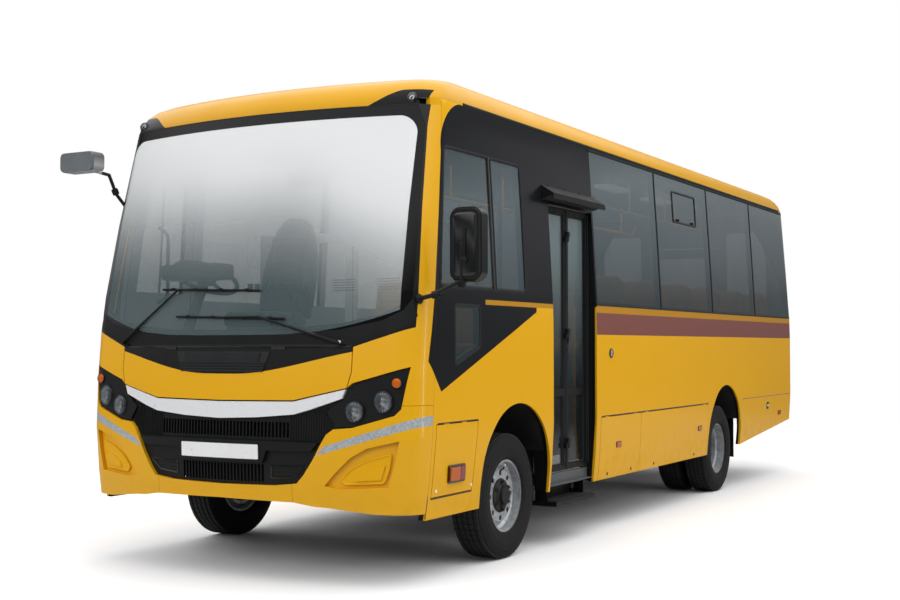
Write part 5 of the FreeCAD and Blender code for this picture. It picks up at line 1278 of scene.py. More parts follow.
# %% Seals round the panes
BELT = 1.627
PANE_TOP = 2.740
TAIL_CORNER = 3.95
CAB_FOOT, CAB_TOP = 1.672, 2.484
DIVIDERS = (-1.378, -0.0415, 1.295, 2.6315, 3.958)
CAB_OUTLINE = ((-3.632, CAB_FOOT), (-2.534, CAB_FOOT), (-2.534, CAB_TOP), (-3.512, CAB_TOP),
               (-3.580, 2.04))
seal = grained("window_seal", "101113", 0.6, 300, 0.3, 0.0005, "1f2023")
amber_marker = lens("amber_marker", "c9570a", 0.95, 0.03, 1400)
boards = {"left": Board("left", "side_wall_left", "window_panes", "roof", "skirt_flap_left_front",
                        "skirt_flap_left_rear", "access_flap", "tail_panel"),
          "right": Board("right", "side_wall_right", "window_panes", "roof", "driver_door",
                         "driver_door_glass", "skirt_flap_right_front", "skirt_flap_right_rear",
                         "tail_panel")}
for side, board in boards.items():
    trim = Piece("flank_trim_" + side)
    for index, y in enumerate(DIVIDERS):
        if index == 0 and side == "left":
            continue
        trim.bar(board.line((y, BELT), (y, PANE_TOP), 12), 0.009, seal, 8, flat=0.35, up=board.way)
    start = -1.38 if side == "left" else -2.89
    for z, radius in ((BELT, 0.006), (PANE_TOP + 0.004, 0.009), (2.768, 0.011)):
        first = start if z < 2.765 else -3.24
        line = board.line((first, z), (TAIL_CORNER, z), 40, 0.001)
        trim.bar(line, radius, seal, 8, flat=0.5, up=board.way)
    trim.done(40)

# %% Cab window with its slider, quarter pane and the vent
left_board = boards["left"]
cab = Piece("cab_window_frame")
cab.bead(left_board, [(y + 0.004, z) for y, z in CAB_OUTLINE], 0.011, seal, 0.001, 0.4, 0.04)
for y, radius, finish, lift, flat in ((-2.972, 0.013, gloss_black, 0.004, 0.45),
                                      (-2.937, 0.008, seal, 0.002, 0.4)):
    cab.bar(left_board.line((y, CAB_FOOT), (y, CAB_TOP), 8, lift), radius, finish, 8, flat=flat,
            up=left_board.way)
QUARTER_PANE = [(-3.466, 1.222), (-3.160, 1.325), (-3.160, 1.570), (-3.466, 1.570)]
cab.bead(left_board, QUARTER_PANE, 0.008, seal, 0.001, 0.4, 0.02)
vent = (0.375, 0.955), (2.375, 2.628)
cab.bead(left_board, round_rect(vent[0], vent[1], 0.012), 0.009, gloss_black, 0.003, 0.6)
for y in (0.480, 0.850):
    spot = left_board.at(y, 2.392, 0.008)
    cab.block_at(spot, (0.008, 0.018, 0.010), (0.006, 0.018, 0.010), black_plastic)
cab.done(40)

# %% Reflectors, lock, filler cap and catches
MARKERS = ((-0.959, 0.604), (0.918, 0.617), (3.494, 0.639))
REAR_LOCK = (3.042, 0.730)
for side, board in boards.items():
    marks = Piece("side_markers_" + side)
    out = -board.way
    for y, z in MARKERS:
        for wide, tall, bend, finish, lift in ((0.048, 0.022, 0.006, gloss_black, 0.0),
                                               (0.043, 0.017, 0.004, amber_marker, 0.004)):
            outline = round_rect((y - wide, y + wide), (z - tall, z + tall), bend)
            marks.plate(board, outline, finish, 0.004, lift)
    y, z = REAR_LOCK
    marks.plate(board, round_rect((y - 0.035, y + 0.035), (z - 0.035, z + 0.035), 0.012), gloss_black, 0.003)
    marks.turned([(0.014, 0.002), (0.014, 0.007), (0.0001, 0.008)], board.at(y, z, 0.0), out, bright, 16)
    y, z = -1.125, 1.279
    spot = board.at(y, z, 0.0)
    marks.turned([(0.036, -0.002), (0.036, 0.004), (0.031, 0.007), (0.028, 0.006), (0.0001, 0.0065)],
                 spot, out, gloss_black, 28)
    half_key = Vector((0.003, 0.005, 0.022))
    marks.block(spot + out * 0.005 - half_key, spot + out * 0.006 + half_key, bright, 0.002)
    marks.done(35)
    for name, y0, y1 in (("front", -1.300, -0.515), ("rear", -0.505, 1.130)):
        catches = Piece("catches_%s_%s" % (side, name), "skirt_flap_%s_%s" % (side, name))
        for share in (0.2, 0.8):
            y = y0 + (y1 - y0) * share
            spot = board.at(y, 0.40, 0.0)
            catches.turned([(0.012, -0.001), (0.012, 0.002), (0.008, 0.003), (0.0001, 0.0032)], spot, out,
                           gloss_black, 18)
            half_key = Vector((0.001, 0.0015, 0.006))
            catches.block(spot + out * 0.003 - half_key, spot + out * 0.0032 + half_key, gloss_black, 0.0006)
        catches.done()

indicator = Piece("side_indicator", "access_flap")
indicator.plate(left_board, round_rect((-3.540, -3.345), (0.553, 0.655), 0.014), gloss_black, 0.010)
indicator.plate(left_board, round_rect((-3.528, -3.420), (0.565, 0.643), 0.010), amber_lens, 0.010, 0.010)
indicator.plate(left_board, round_rect((-3.412, -3.357), (0.565, 0.643), 0.010), red_lens, 0.008, 0.010)
for y in (-3.66, -3.25):
    at = left_board.at(y, 0.52, 0.0)
    indicator.turned([(0.010, -0.001), (0.010, 0.002), (0.0001, 0.003)], at, (1, 0, 0), bright, 16)
indicator.done(35)


# %% [markdown]
# ## Mirrors
# The left mirror is a tall black shell with a rounded edge and glass that faces the driver.
# The right one is a small grey shell on a bent arm, high in front of the pillar. Their arms
# and shells are solids already; glass, seams, clamps and a grey cap are added.

# %% Glass, caps and clamps of the mirrors
mirror_glass = grained("mirror_glass", "b9c3c8", 0.02, 20, 0.01, 0.0002, "a9b3b8", Metallic=1.0)
shell_grey = grained("mirror_shell", "5e6468", 0.3, 260, 0.08, 0.0004, "787d80", Coat_Weight=0.3)
mirrors = Piece("mirror_gear")
LEFT_MIRROR, RIGHT_MIRROR = (1.445, 1.890), (-1.395, 2.530)


def mirror_plate(centre, width, height, y, finish, thick, way):
    """A rounded plate across the bus, on one face of a mirror's head."""
    outline = round_rect((centre[0] - width / 2, centre[0] + width / 2),
                         (centre[1] - height / 2, centre[1] + height / 2), min(width, height) * 0.28, 8)
    count = len(outline)
    inner = [((u - centre[0]) * 0.94 + centre[0], (v - centre[1]) * 0.97 + centre[1]) for u, v in outline]
    points = [(u, y, v) for u, v in outline] + [(u, y + way * thick, v) for u, v in inner]
    faces = [[i, (i + 1) % count, count + (i + 1) % count, count + i] for i in range(count)]
    faces += [list(range(count)), list(range(count, 2 * count))]
    mirrors.form(points, faces, finish)


mirror_plate(LEFT_MIRROR, 0.184, 0.394, -3.6855, gloss_black, 0.004, 1)
mirror_plate(LEFT_MIRROR, 0.164, 0.374, -3.6835, mirror_glass, 0.004, 1)
mirror_plate(LEFT_MIRROR, 0.188, 0.398, -3.7550, black_plastic, 0.012, -1)
mirror_plate(LEFT_MIRROR, 0.150, 0.350, -3.7665, gloss_black, 0.003, -1)
mirrors.block((1.435, -3.778, 1.80), (1.455, -3.766, 1.98), black_plastic, 0.004)
mirrors.turned([(0.020, 0.0), (0.020, 0.010), (0.012, 0.013), (0.0001, 0.0135)], (1.445, -3.769, 1.80),
               (0, -1, 0), black_plastic, 20)
mirror_plate(RIGHT_MIRROR, 0.288, 0.118, -3.7455, mirror_glass, 0.004, 1)
mirror_plate(RIGHT_MIRROR, 0.296, 0.126, -3.834, shell_grey, 0.016, -1)
for spot, axis in (((1.29, -3.815, 1.613), (1, 0.25, 0.1)), ((1.425, -3.760, 1.675), (0, 0, 1)),
                   ((-1.178, -3.713, 2.335), (-0.2, -0.4, 1))):
    mirrors.turned([(0.012, -0.022), (0.021, -0.019), (0.022, 0.0), (0.021, 0.019), (0.012, 0.022)],
                   spot, axis, black_plastic, 20)
mirrors.turned([(0.030, -0.004), (0.030, 0.006), (0.022, 0.014), (0.014, 0.02)], (1.172, -3.792, 1.593),
               (1, 0, 0.2), black_plastic, 24)
mirrors.done(35)


# %% [markdown]
# ## Doors
# A door is told by its edges: a rubber round each leaf, a gasket round each pane, a handle, a
# lock and hinge pins. All of it rides on the leaf, so it swings with it.

# %% The folding entry door
door_rail = grained("door_rail", "1c1d1f", 0.38, 300, 0.12, 0.0004, "2c2d2f", Metallic=0.2)
LEAF_FACE = 1.142
for leaf in ("front", "rear"):
    name = "entry_door_" + leaf
    low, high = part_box(name)
    pane_low, pane_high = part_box(name + "_glass")
    board = Board("left", name, name + "_glass")
    gear = Piece("gear_" + name, name)
    y0, y1 = (low.y, -1.7615) if leaf == "front" else (-1.7535, high.y)
    # The front leaf's rubber stays open at its hinge, where the folded leaf passes the portal.
    hinge_side = y0 + (0.060 if leaf == "front" else 0.006)
    rim = [(LEAF_FACE + 0.001, y, z) for y, z in (
        (hinge_side, low.z + 0.006), (y1 - 0.006, low.z + 0.006),
        (y1 - 0.006, high.z - 0.006), (hinge_side, high.z - 0.006))]
    gear.bar(rim, 0.0055, seal, 8, 0.02, leaf == "rear", 0.6, up=(1, 0, 0))
    y0, y1 = pane_low.y + 0.002, pane_high.y - 0.002
    z0, z1 = pane_low.z + 0.002, pane_high.z - 0.002
    for x in (pane_high.x + 0.0015, pane_low.x - 0.0015):
        gear.bar([(x, y0, z0), (x, y1, z0), (x, y1, z1), (x, y0, z1)], 0.009, seal, 8, 0.025, True, 0.5,
                 up=(1, 0, 0))
    grip = y1 - 0.03 if leaf == "front" else y0 + 0.03
    back = y0 + 0.11 if leaf == "front" else y1 - 0.05
    if leaf == "rear":
        gear.bar([(1.112, grip, 1.02), (1.074, grip, 1.06), (1.074, grip, 1.72), (1.112, grip, 1.76)], 0.013,
                 yellow_rail, 12, 0.05)
    for z in (low.z + 0.05, high.z - 0.05):
        for y in (grip, back):
            gear.turned([(0.007, -0.001), (0.0065, 0.002), (0.0001, 0.003)], (LEAF_FACE, y, z),
                        (1, 0, 0), door_rail, 10)
    gear.done(35)

handle = Piece("entry_handle", "entry_door_rear")
handle.block((1.141, -1.742, 1.330), (1.145, -1.712, 1.440), gloss_black, 0.002)
handle.bar([(1.143, -1.727, 1.346), (1.150, -1.727, 1.352), (1.150, -1.727, 1.418), (1.143, -1.727, 1.424)],
           0.0035, door_rail, 10, 0.006)
handle.turned([(0.008, -0.002), (0.008, 0.002), (0.0001, 0.003)], (1.143, -1.727, 1.306), (1, 0, 0),
              dark_chrome, 14)
handle.done(35)

# %% Ribbed treads with yellow edges
treads = Piece("entry_treads")
grip_black = grained("tread_mat", "141516", 0.7, 380, 0.3, 0.0005, "2b2a28")
RISE = 0.0035
HUNG_STEP = 0.290
for x0, x1, z, y0, y1 in ((0.752, 1.130, 0.402, -2.050, -1.465), (0.480, 0.728, 0.652, -2.050, -1.465),
                          (1.040, 1.206, HUNG_STEP, -2.060, -1.455)):
    treads.block((x0, y0, z - 0.001), (x1, y1, z + RISE), grip_black, 0.002)
    count = int((x1 - x0 - 0.05) / 0.022)
    rib = rib_form((0.0, y0 + 0.02, z + RISE), (0.010, y1 - 0.02, z + 0.006), 0.002, 0.002)
    treads.add(repeated(rib, grip_black, count, (x0 + 0.01, 0, 0), (0.022, 0, 0)))
    edge = grip_black if z == HUNG_STEP else yellow_rail
    treads.block((x1 - 0.032, y0, z - 0.001), (x1 + 0.002, y1, z + 0.007), edge, 0.003)
# A riser and two end plates close the space between the sill and the hung step.
treads.block((1.046, -2.052, 0.288), (1.052, -1.463, 0.395), black_plastic, 0.001)
for y in (-2.056, -1.463):
    treads.block((1.050, y, 0.288), (1.140, y + 0.004, 0.395), black_plastic, 0.001)
treads.done(30)

# %% Portal brush, canopy screws and painted shadow in the seams of the flanks
portal = Piece("portal_trim")
for y in (-2.1275, -1.3885):
    portal.bar([(1.150, y, 0.50), (1.150, y, 2.27)], 0.006, seal, 8, flat=0.6)
for share in (0.06, 0.35, 0.65, 0.94):
    y = -2.213 + 0.883 * share
    portal.turned([(0.008, -0.002), (0.0075, 0.002), (0.0001, 0.003)], (1.197, y, 2.402), (0.25, 0, 1),
                  black_plastic, 12)
portal.block((-1.085, -3.490, 2.712), (1.085, -3.460, 2.790), gloss_black)
# Thin gloss-black bars in the seams round the flaps, along the rear skirt and at the front corner are painted
# shadow, standing in for the shade deep in those gaps.
SEAM_HEIGHT, SEAM_SHADOW_RADIUS = 0.8255, 0.0035
for side, board in boards.items():
    for y0, z0, y1, z1 in ((-3.754, 0.372, -3.709, 1.160), (-3.668, 0.898, -3.186, 0.898),
                           (-3.714, 0.479, -3.238, 0.481)):
        line = board.line((y0, z0), (y1, z1), 8, -0.001)
        portal.bar(line, SEAM_SHADOW_RADIUS, gloss_black, 8, flat=0.7, up=board.way)
    for y0, y1 in ((-1.300, 1.130), (2.170, TAIL_CORNER)):
        line = board.line((y0, SEAM_HEIGHT), (y1, SEAM_HEIGHT), 24, -0.001)
        portal.bar(line, SEAM_SHADOW_RADIUS, gloss_black, 8, flat=0.7, up=board.way)
portal.done(35)

# %% The driver's door
right_board = Board("right", "driver_door", "driver_door_glass", "side_wall_right")
driver = Piece("gear_driver_door", "driver_door")
glass_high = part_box("driver_door_glass")[1]
driver.bead(right_board, [(-3.560, 1.655), (glass_high.y - 0.006, 1.655), (glass_high.y - 0.006, 2.46),
                          (-3.395, 2.46)], 0.010, seal, 0.001, 0.45, 0.04)
driver.bar(right_board.line((-3.25, 1.66), (-3.25, 2.45), 8, 0.003), 0.010, gloss_black, 8, flat=0.45,
           up=right_board.way)
driver.plate(right_board, round_rect((-3.165, -3.015), (1.285, 1.375), 0.02), gloss_black, 0.004)
grip = [right_board.at(-3.150, 1.348, 0.004), right_board.at(-3.135, 1.350, 0.026),
        right_board.at(-3.045, 1.350, 0.026), right_board.at(-3.030, 1.348, 0.004)]
driver.bar(grip, 0.010, black_plastic, 10, 0.012, flat=0.7)
driver.turned([(0.011, 0.003), (0.011, 0.008), (0.0001, 0.009)], right_board.at(-3.09, 1.305),
              (-1, 0, 0), bright, 16)
driver.done(35)


# %% [markdown]
# ## The tail
# The emergency door fills the middle of the tail. Its lever, hinges and gasket, the lamps in
# sections, two red reflectors and a blank plate with its lamp follow what such a bus must carry.

# %% Emergency door gear, tail lamps and plate
tail_board = Board("tail", "tail_panel", "emergency_door", "emergency_door_glass", "window_panes",
                   "tail_lamps", "rear_bumper")
escape = Piece("gear_emergency_door", "emergency_door")
escape.bead(tail_board, round_rect((-0.326, 0.326), (1.651, 2.336), 0.03), 0.010, seal, 0.001, 0.5)
escape.bead(tail_board, [(-0.402, 0.848), (0.402, 0.848), (0.402, 2.412), (-0.402, 2.412)], 0.004, seal,
            0.001, 0.6, 0.02)
escape.plate(tail_board, round_rect((0.235, 0.365), (1.300, 1.400), 0.02), gloss_black, 0.005)
lever = [tail_board.at(0.345, 1.372, 0.004), tail_board.at(0.335, 1.372, 0.032),
         tail_board.at(0.255, 1.340, 0.032), tail_board.at(0.245, 1.338, 0.020)]
escape.bar(lever, 0.009, bright, 10, 0.012, flat=0.7)
escape.plate(tail_board, round_rect((-0.30, 0.30), (0.905, 0.955), 0.006), step_metal, 0.003)
escape.done(35)

stop_lens = lens("stop_lens", "9c0f0c", 0.94, 0.05, 1200)
white_lens = lens("white_lens", "d9dcdc", 0.8, 0.0, 1200)
tail_trim = Piece("tail_gear")
for way in (-1, 1):
    spans = ((0.900, 1.020, stop_lens), (1.035, 1.120, amber_lens), (1.135, 1.280, stop_lens))
    for z0, z1, finish in spans:
        tail_trim.plate(tail_board, paired_rect(way, 0.922, 1.038, (z0, z1), 0.014), finish, 0.006, 0.001)
    tail_trim.bead(tail_board, paired_rect(way, 0.910, 1.050, (0.886, 1.294), 0.02), 0.006, gloss_black,
                   0.001, 0.8)
    for u0, u1, finish in ((0.72, 0.80, stop_lens), (0.60, 0.68, white_lens)):
        tail_trim.plate(tail_board, paired_rect(way, u0, u1, (0.780, 0.815), 0.006), finish, 0.005)
    tail_trim.bead(tail_board, paired_rect(way, 0.473, 0.982, (1.650, 2.597), 0.03), 0.009, seal, 0.001,
                   0.5)
    tail_trim.turned([(0.022, 0.0), (0.022, 0.016), (0.016, 0.022), (0.0001, 0.023)],
                     tail_board.at(way * 0.92, 2.66, 0.0), (0, 1, 0), stop_lens, 20)
tail_trim.plate(tail_board, round_rect((-0.270, 0.270), (0.735, 0.835), 0.008), gloss_black, 0.004)
tail_trim.plate(tail_board, round_rect((-0.262, 0.262), (0.742, 0.828), 0.006), white_plate, 0.003, 0.004)
tail_trim.done(30)


# %% [markdown]
# ## Roof
# Rolled ribs stiffen the roof, rivets hold the seams, and the visor carries small clear
# marker lamps. The hatch has a rubber round its lid.

# %% Ribs, rivets, marker lamps and hatch rubber
roof_board = Board("top", "roof", "roof_hatch")
ribs = Piece("roof_ribs")
hatch_low, hatch_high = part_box("roof_hatch")
RIB_PLACES = [y for y in (-2.9 + 0.62 * i for i in range(11))
              if not hatch_low.y - 0.06 < y < hatch_high.y + 0.06]
for y in RIB_PLACES:
    line = roof_board.line((-0.90, y), (0.90, y), 28, -0.001)
    ribs.bar(line, 0.014, plain, 10, flat=0.25, up=(0, 1, 0))
rivet = [(0.0045 * math.cos(a), 0.0045 * math.sin(a), -0.001) for a in [math.tau * k / 6 for k in range(6)]]
rivet.append((0.0, 0.0, 0.002))
for y in RIB_PLACES:
    for way in (-1, 1):
        for step in range(9):
            spot = roof_board.at(way * (0.14 + 0.10 * step), y + 0.035, 0.0)
            ribs.form([spot + Vector(p) for p in rivet], [[k, (k + 1) % 6, 6] for k in range(6)], plain)
HOOP_PLUG = ((1.075, -3.495), (1.075, -3.553), (1.103, -3.555), (1.126, -3.535), (1.143, -3.497))
for way in (-1, 1):
    count = len(HOOP_PLUG)
    points = [(way * x, y, z) for z in (2.718, 2.766) for x, y in HOOP_PLUG]
    faces = [[k, (k + 1) % count, count + (k + 1) % count, count + k] for k in range(count)]
    ribs.form(points, faces + [list(range(count)), list(range(count, 2 * count))], plain)
ribs.done(35)

markers = Piece("visor_markers")
visor_board = Board("front", "roof", "front_mask")
for x, z in ((1.02, 2.760), (-1.02, 2.760)):
    spot = visor_board.at(x, z, 0.0)
    markers.turned([(0.030, -0.010), (0.032, 0.004), (0.026, 0.010)], spot, (0, -1, 0.3), gloss_black, 24)
    markers.turned([(0.026, 0.006), (0.024, 0.018), (0.014, 0.026), (0.0001, 0.028)], spot, (0, -1, 0.3),
                   clear_lens, 24)
    markers.turned([(0.018, 0.006), (0.008, 0.008), (0.006, 0.016), (0.0001, 0.017)], spot, (0, -1, 0.3),
                   mirror_bowl, 16)
markers.done(35)

hatch = Piece("hatch_gear", "roof_hatch")
inset = 0.02
rim = [(hatch_low.x + inset, hatch_low.y + inset), (hatch_high.x - inset, hatch_low.y + inset),
       (hatch_high.x - inset, hatch_high.y - inset), (hatch_low.x + inset, hatch_high.y - inset)]
hatch.bead(Board("top", "roof_hatch"), rim, 0.005, seal, 0.0, 0.7, 0.06)
hatch.done(35)


# %% [markdown]
# ## Seats
# A cushion is cloth drawn over foam. Each pad starts as a slightly small block, is remeshed
# evenly, and is then blown up a little as cloth, which crowns its faces and pulls its sides in
# between the corners. How far a point may move is capped, and the underside stays flat. The
# sewn channels are pressed in afterwards, because the remesh would lose them.

# %% Upholstery
def upholstery(name, colour, dark):
    """Coated cloth: a fine weave, soft creases and a worn sheen."""
    ink = Ink(name, Roughness=0.62, Sheen_Weight=0.15, Specular_IOR_Level=0.35)
    thread = ink.noise(420, 2)
    crease = ink.noise(11, 4, 0.6)
    ink.bump(thread * 0.35 + crease * 0.65, 0.35, 0.0016)
    ink.set("Base Color", ink.mix(crease.ease(0.3, 0.8) * 0.5, colour, dark))
    ink.set("Roughness", crease * 0.2 + 0.5)
    return ink.material


bench_cloth = upholstery("bench_cloth", "c5922a", "9a6d1c")
driver_cloth = upholstery("driver_cloth", "1d2023", "121416")
BENCH_WIDTH, BENCH_MIDDLE = 0.86, 0.715


def evaluated_mesh(thing):
    """A copy of an object's mesh with its modifiers."""
    graph = bpy.context.evaluated_depsgraph_get()
    return bpy.data.meshes.new_from_object(thing.evaluated_get(graph), depsgraph=graph)


CLOTH_PRESSURE, CLOTH_FRAMES = 4, 20
CHANNEL_DEPTH = 0.009


def pad_form(outline, thick):
    """A closed block from an outline in x and z, with its thickness along y."""
    bm = bmesh.new()
    face = bm.faces.new([bm.verts.new((u, 0, v)) for u, v in outline])
    grown = bmesh.ops.extrude_face_region(bm, geom=[face])["geom"]
    bmesh.ops.translate(bm, verts=[g for g in grown if isinstance(g, bmesh.types.BMVert)],
                        vec=(0, thick, 0))
    bmesh.ops.recalc_face_normals(bm, faces=bm.faces[:])
    mesh = bpy.data.meshes.new("pad")
    bm.to_mesh(mesh)
    bm.free()
    return mesh


def stuffed(outline, thick, voxel, cap, channels):
    """A pad blown up as cloth: crowned in front, flat behind, with pressed channels."""
    thing = link("pad", pad_form(outline, thick))
    bevel = thing.modifiers.new("soft_edges", "BEVEL")
    bevel.width = thick * 0.3
    bevel.segments = 3
    bevel.limit_method = "ANGLE"
    remesh = thing.modifiers.new("even_faces", "REMESH")
    remesh.mode = "VOXEL"
    remesh.voxel_size = voxel
    even = evaluated_mesh(thing)
    thing.modifiers.clear()
    thing.data = even
    start = [vertex.co.copy() for vertex in even.vertices]
    cloth = thing.modifiers.new("blown", "CLOTH")
    cloth.settings.use_pressure = True
    cloth.settings.uniform_pressure_force = CLOTH_PRESSURE
    cloth.settings.effector_weights.gravity = 0
    cloth.point_cache.frame_start = 1
    cloth.point_cache.frame_end = CLOTH_FRAMES
    for frame_number in range(1, CLOTH_FRAMES + 1):
        scene.frame_set(frame_number)
    blown = evaluated_mesh(thing)
    thing.modifiers.clear()
    scene.frame_set(1)
    for vertex, origin, end in zip(even.vertices, start, blown.vertices):
        move = end.co - origin
        if move.length > cap:
            move.length = cap
        if origin.y > thick - 0.02:
            move.y = min(move.y, 0.0)
        vertex.co = origin + move
    for vertex in even.vertices:
        if vertex.co.y < thick * 0.6:
            for axis, place, low, high in channels:
                along = vertex.co.z if axis == 0 else vertex.co.x
                if low < along < high:
                    off = (vertex.co[0 if axis == 0 else 2] - place) / (voxel * 1.1)
                    vertex.co.y += CHANNEL_DEPTH * math.exp(-off * off)
    bpy.data.objects.remove(thing)
    return even


def placed(meshes, name, finish, body, replaced=()):
    """Copies of pads in their places as one padded piece."""
    points, faces = [], []
    for mesh, matrix in meshes:
        first = len(points)
        points += [matrix @ vertex.co for vertex in mesh.vertices]
        flip = matrix.determinant() < 0
        for face in mesh.polygons:
            ring = [first + i for i in face.vertices]
            faces.append(ring[::-1] if flip else ring)
    mesh = bpy.data.meshes.new(name)
    mesh.from_pydata(points, [], faces)
    mesh.polygons.foreach_set("use_smooth", [True] * len(mesh.polygons))
    mesh.materials.append(finish)
    thing = link(name, mesh)
    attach(thing, body)
    if replaced:
        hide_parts(*replaced)
    print(name, "faces", len(mesh.polygons))
    return thing


# %% Passenger benches
ROWS = [-1.100 + 0.8 * i for i in range(6)]
half = BENCH_WIDTH / 2 - 0.012
cushion = stuffed([(-half, 0.0), (half, 0.0), (half, 0.415), (-half, 0.415)], 0.085, 0.013, 0.012,
                  [(0, 0.0, -1, 1), (0, -half + 0.05, -1, 1), (0, half - 0.05, -1, 1), (1, 0.06, -1, 1)])
back_outline = [(-half, 0.0), (half, 0.0), (half, 0.50), (half - 0.05, 0.555), (0.06, 0.565), (0.0, 0.545),
                (-0.06, 0.565), (-half + 0.05, 0.555), (-half, 0.50)]
backrest = stuffed(back_outline, 0.070, 0.013, 0.012,
                   [(0, 0.0, -1, 1), (0, -half + 0.05, 0, 0.5), (0, half - 0.05, 0, 0.5),
                    (1, 0.18, -0.37, 0.37), (1, 0.36, -0.37, 0.37)])
cushions, backs = [], []
seat_frames = Piece("bench_frames")
bench_grey = grained("bench_frame", "3a3d40", 0.45, 300, 0.12, 0.0004, "54575a")
for way in (-1, 1):
    for row in ROWS:
        middle = way * BENCH_MIDDLE
        lay = Matrix.Translation((middle, row + 0.008, 1.345)) @ Matrix.Rotation(math.radians(-90), 4, "X")
        cushions.append((cushion, lay))
        lean = math.atan2(0.11, 0.57)
        backs.append((backrest, Matrix.Translation((middle, row + 0.358, 1.335))
                      @ Matrix.Rotation(-lean, 4, "X")))
        for x in (middle - 0.36, middle + 0.36):
            seat_frames.bar([(x, row + 0.03, 1.262), (x, row + 0.415, 1.262), (x, row + 0.435, 1.35),
                             (x, row + 0.520, 1.84)], 0.014, bench_grey, 10, 0.04)
        leg = way * 0.352
        for top, foot in ((0.06, 0.12), (0.38, 0.32)):
            seat_frames.bar([(leg, row + top, 1.25), (leg, row + foot, 0.91)], 0.015, bench_grey, 10)
        seat_frames.block((leg - 0.024, row + 0.09, 0.901), (leg + 0.024, row + 0.35, 0.912), bench_grey)
        for y in (row + 0.06, row + 0.38):
            seat_frames.bar([(middle - 0.40, y, 1.252), (middle + 0.40, y, 1.252)], 0.012, bench_grey, 10)
        grip_y = row + 0.545
        seat_frames.bar([(middle - 0.34, row + 0.515, 1.80), (middle - 0.34, grip_y, 1.868),
                         (middle + 0.34, grip_y, 1.868), (middle + 0.34, row + 0.515, 1.80)], 0.011,
                        yellow_rail, 10, 0.05)
placed(cushions, "bench_cushions", bench_cloth, "bus_body")
placed(backs, "bench_backs", bench_cloth, "bus_body", ["passenger_seats"])
seat_frames.done(35)

# %% Driver's seat: tall back that narrows to its top, on a sprung pedestal
TALL_EDGE = [(0.235, 0.12), (0.238, 0.34), (0.225, 0.47), (0.190, 0.60), (0.150, 0.69),
             (0.110, 0.745), (0.055, 0.772)]
tall = [(-0.215, 0.0), (0.215, 0.0)] + TALL_EDGE + [(0.0, 0.778)] + [(-x, z) for x, z in TALL_EDGE[::-1]]
tall_back = stuffed(tall, 0.085, 0.009, 0.014, [(0, -0.145, 0.05, 0.55), (0, 0.145, 0.05, 0.55),
                                                (1, 0.20, -0.15, 0.15), (1, 0.40, -0.15, 0.15),
                                                (1, 0.575, -0.16, 0.16)])
base = stuffed([(-0.225, 0.0), (0.225, 0.0), (0.225, 0.36), (0.20, 0.45), (-0.20, 0.45), (-0.225, 0.36)],
               0.090, 0.009, 0.014, [(0, -0.14, -1, 1), (0, 0.14, -1, 1), (1, 0.25, -0.14, 0.14)])
seat_x = -0.70
back_lean = math.atan2(0.16, 0.76)
placed([(base, Matrix.Translation((seat_x, -2.955, 1.555)) @ Matrix.Rotation(math.radians(-90), 4, "X")),
        (tall_back, Matrix.Translation((seat_x, -2.565, 1.520)) @ Matrix.Rotation(-back_lean, 4, "X"))],
       "driver_pads", driver_cloth, "bus_body", ["driver_seat"])
pedestal = Piece("driver_pedestal")
pedestal.block((seat_x - 0.20, -2.92, 1.425), (seat_x + 0.20, -2.52, 1.465), bench_grey, 0.01)
for k in range(5):
    z = 1.15 + k * 0.055
    grow = 0.012 * (k % 2)
    pedestal.block((seat_x - 0.16 - grow, -2.88 - grow, z), (seat_x + 0.16 + grow, -2.55 + grow, z + 0.055),
                   seal, 0.018)
pedestal.block((seat_x - 0.21, -2.94, 1.102), (seat_x + 0.21, -2.50, 1.150), bench_grey, 0.008)
pedestal.bar([(seat_x + 0.235, -2.60, 1.50), (seat_x + 0.250, -2.86, 1.47)], 0.012, black_plastic, 10)
pedestal.done(35)


# %% [markdown]
# ## Cab and saloon
# Dials under a hood, switches, a gear lever in its gaiter, an inner mirror and ceiling rails
# show through the windshield as dark and pale shapes, and that is how the cab gets its depth.

# %% Dashboard, gear lever, inner mirror
cab_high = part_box("dashboard")[1]
gear = Piece("cab_gear")
dash_top = cab_high.z
gear.block((-0.93, cab_high.y - 0.20, dash_top - 0.03), (-0.45, cab_high.y - 0.02, dash_top + 0.075),
           black_plastic, 0.03)
dial = grained("dial_face", "0d0e10", 0.3, 300, 0.05, 0.0003, "15171a")
for x, radius in ((-0.80, 0.052), (-0.60, 0.052), (-0.70, 0.030)):
    spot = Vector((x, cab_high.y - 0.018, dash_top + 0.024))
    gear.turned([(radius, -0.004), (radius * 1.08, 0.002), (radius * 1.02, 0.006), (radius * 0.95, 0.002),
                 (0.0001, 0.0015)], spot, (0, 1, 0.15), dial, 28)
    needle = [spot + Vector((0, 0.004, -radius * 0.2)), spot + Vector((0.01, 0.004, radius * 0.7))]
    gear.bar(needle, 0.0015, bright, 6)
for k in range(9):
    x = -0.36 + k * 0.055
    gear.block((x, cab_high.y - 0.012, dash_top - 0.11), (x + 0.038, cab_high.y + 0.004, dash_top - 0.055),
               dial, 0.006)
for x in (0.30, 0.62):
    for k in range(5):
        z = dash_top - 0.115 + k * 0.016
        gear.block((x, cab_high.y - 0.010, z), (x + 0.16, cab_high.y + 0.004, z + 0.006), black_plastic,
                   0.002)
gear.bar([(-0.26, -2.98, 1.23), (-0.28, -2.96, 1.40), (-0.34, -2.93, 1.66)], 0.011, black_plastic, 10, 0.12)
gear.turned([(0.0001, -0.026), (0.018, -0.022), (0.027, 0.0), (0.022, 0.02), (0.0001, 0.028)],
            (-0.345, -2.928, 1.675), (-0.2, 0.1, 1), gloss_black, 24)
for k in range(5):
    r = 0.085 - k * 0.013
    gear.turned([(r, 0.0), (r + 0.004, 0.009), (r - 0.009, 0.018)], (-0.26, -2.98, 1.231 + k * 0.017),
                (0, 0, 1), seal, 24)
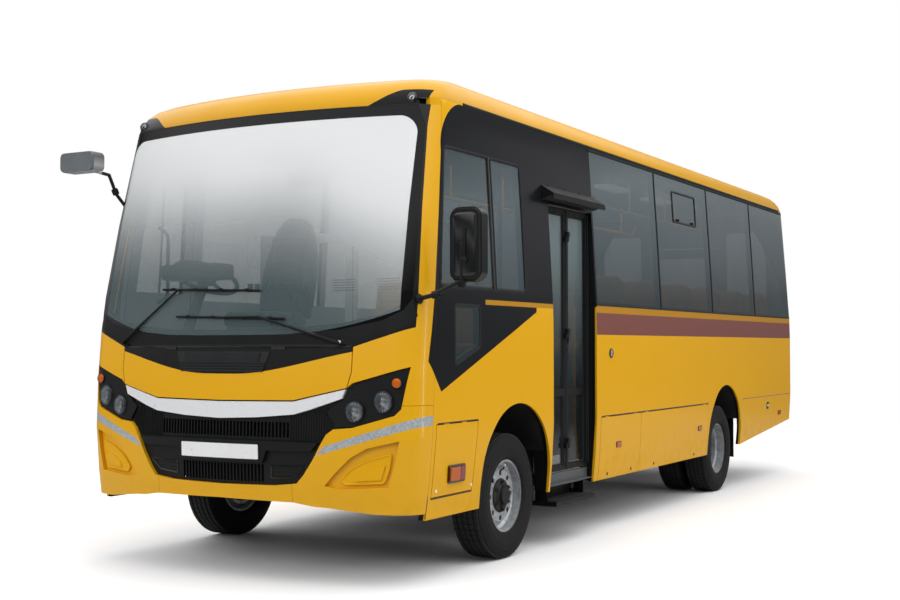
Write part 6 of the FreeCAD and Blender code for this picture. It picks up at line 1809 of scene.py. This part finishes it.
gear.bar([(0.10, -3.34, 2.66), (0.10, -3.30, 2.50), (0.10, -3.31, 2.44)], 0.008, black_plastic, 8, 0.05)
gear.block((-0.08, -3.335, 2.335), (0.28, -3.312, 2.445), gloss_black, 0.012)
gear.block((-0.07, -3.312, 2.343), (0.27, -3.309, 2.437), mirror_glass, 0.001)
gear.bar([(-1.07, -3.42, 1.62), (-1.04, -3.36, 1.66), (-1.04, -3.36, 2.08), (-1.07, -3.42, 2.12)], 0.012,
         black_plastic, 10, 0.04)
gear.done(35)

wheel = Piece("hand_wheel_pad", "steering_wheel")
centre = Vector((-0.690, -3.390, 1.775))
WHEEL_LEAN, GRIP_RADIUS = 26, 0.212
lean = math.radians(WHEEL_LEAN)
axis = Vector((0, math.sin(lean), math.cos(lean)))
wheel.turned([(0.072, -0.02), (0.074, 0.0), (0.066, 0.016), (0.040, 0.024), (0.0001, 0.027)], centre, axis,
             black_plastic, 32)
side = axis.orthogonal().normalized()
other = axis.cross(side)
for k in range(12):
    angle = math.tau * k / 12
    spot = centre + (side * math.cos(angle) + other * math.sin(angle)) * GRIP_RADIUS
    wheel.turned([(0.0158, -0.006), (0.0168, 0.0), (0.0158, 0.006)], spot,
                 other * math.cos(angle) - side * math.sin(angle), seal, 12)
wheel.done(35)

# %% Ceiling rails and lamps, aisle mat
rails = Piece("saloon_rails")
for x in (-0.42, 0.42):
    rails.bar([(x, -1.05, 2.66), (x, -0.98, 2.56), (x, 3.55, 2.56), (x, 3.62, 2.66)], 0.015,
              yellow_rail, 12, 0.05)
    for k in range(5):
        y = -0.6 + k * 0.95
        rails.bar([(x, y, 2.56), (x, y, 2.86)], 0.010, yellow_rail, 10)
lamp_cover = lens("ceiling_lamp", "eceee9", 0.95, 0.35)
for k in range(4):
    y = -0.85 + k * 1.25
    rails.block((-0.09, y, 2.872), (0.09, y + 0.55, 2.905), lamp_cover, 0.012)
rails.block((-0.255, -1.25, 0.9005), (0.255, 3.75, 0.904), grip_black, 0.001)
mat_rib = rib_form((-0.24, 0, 0.904), (0.24, 0.012, 0.906), 0.002, 0.003)
rails.add(repeated(mat_rib, grip_black, 120, (0, -1.22, 0), (0, 0.041, 0)))
rails.done(35)
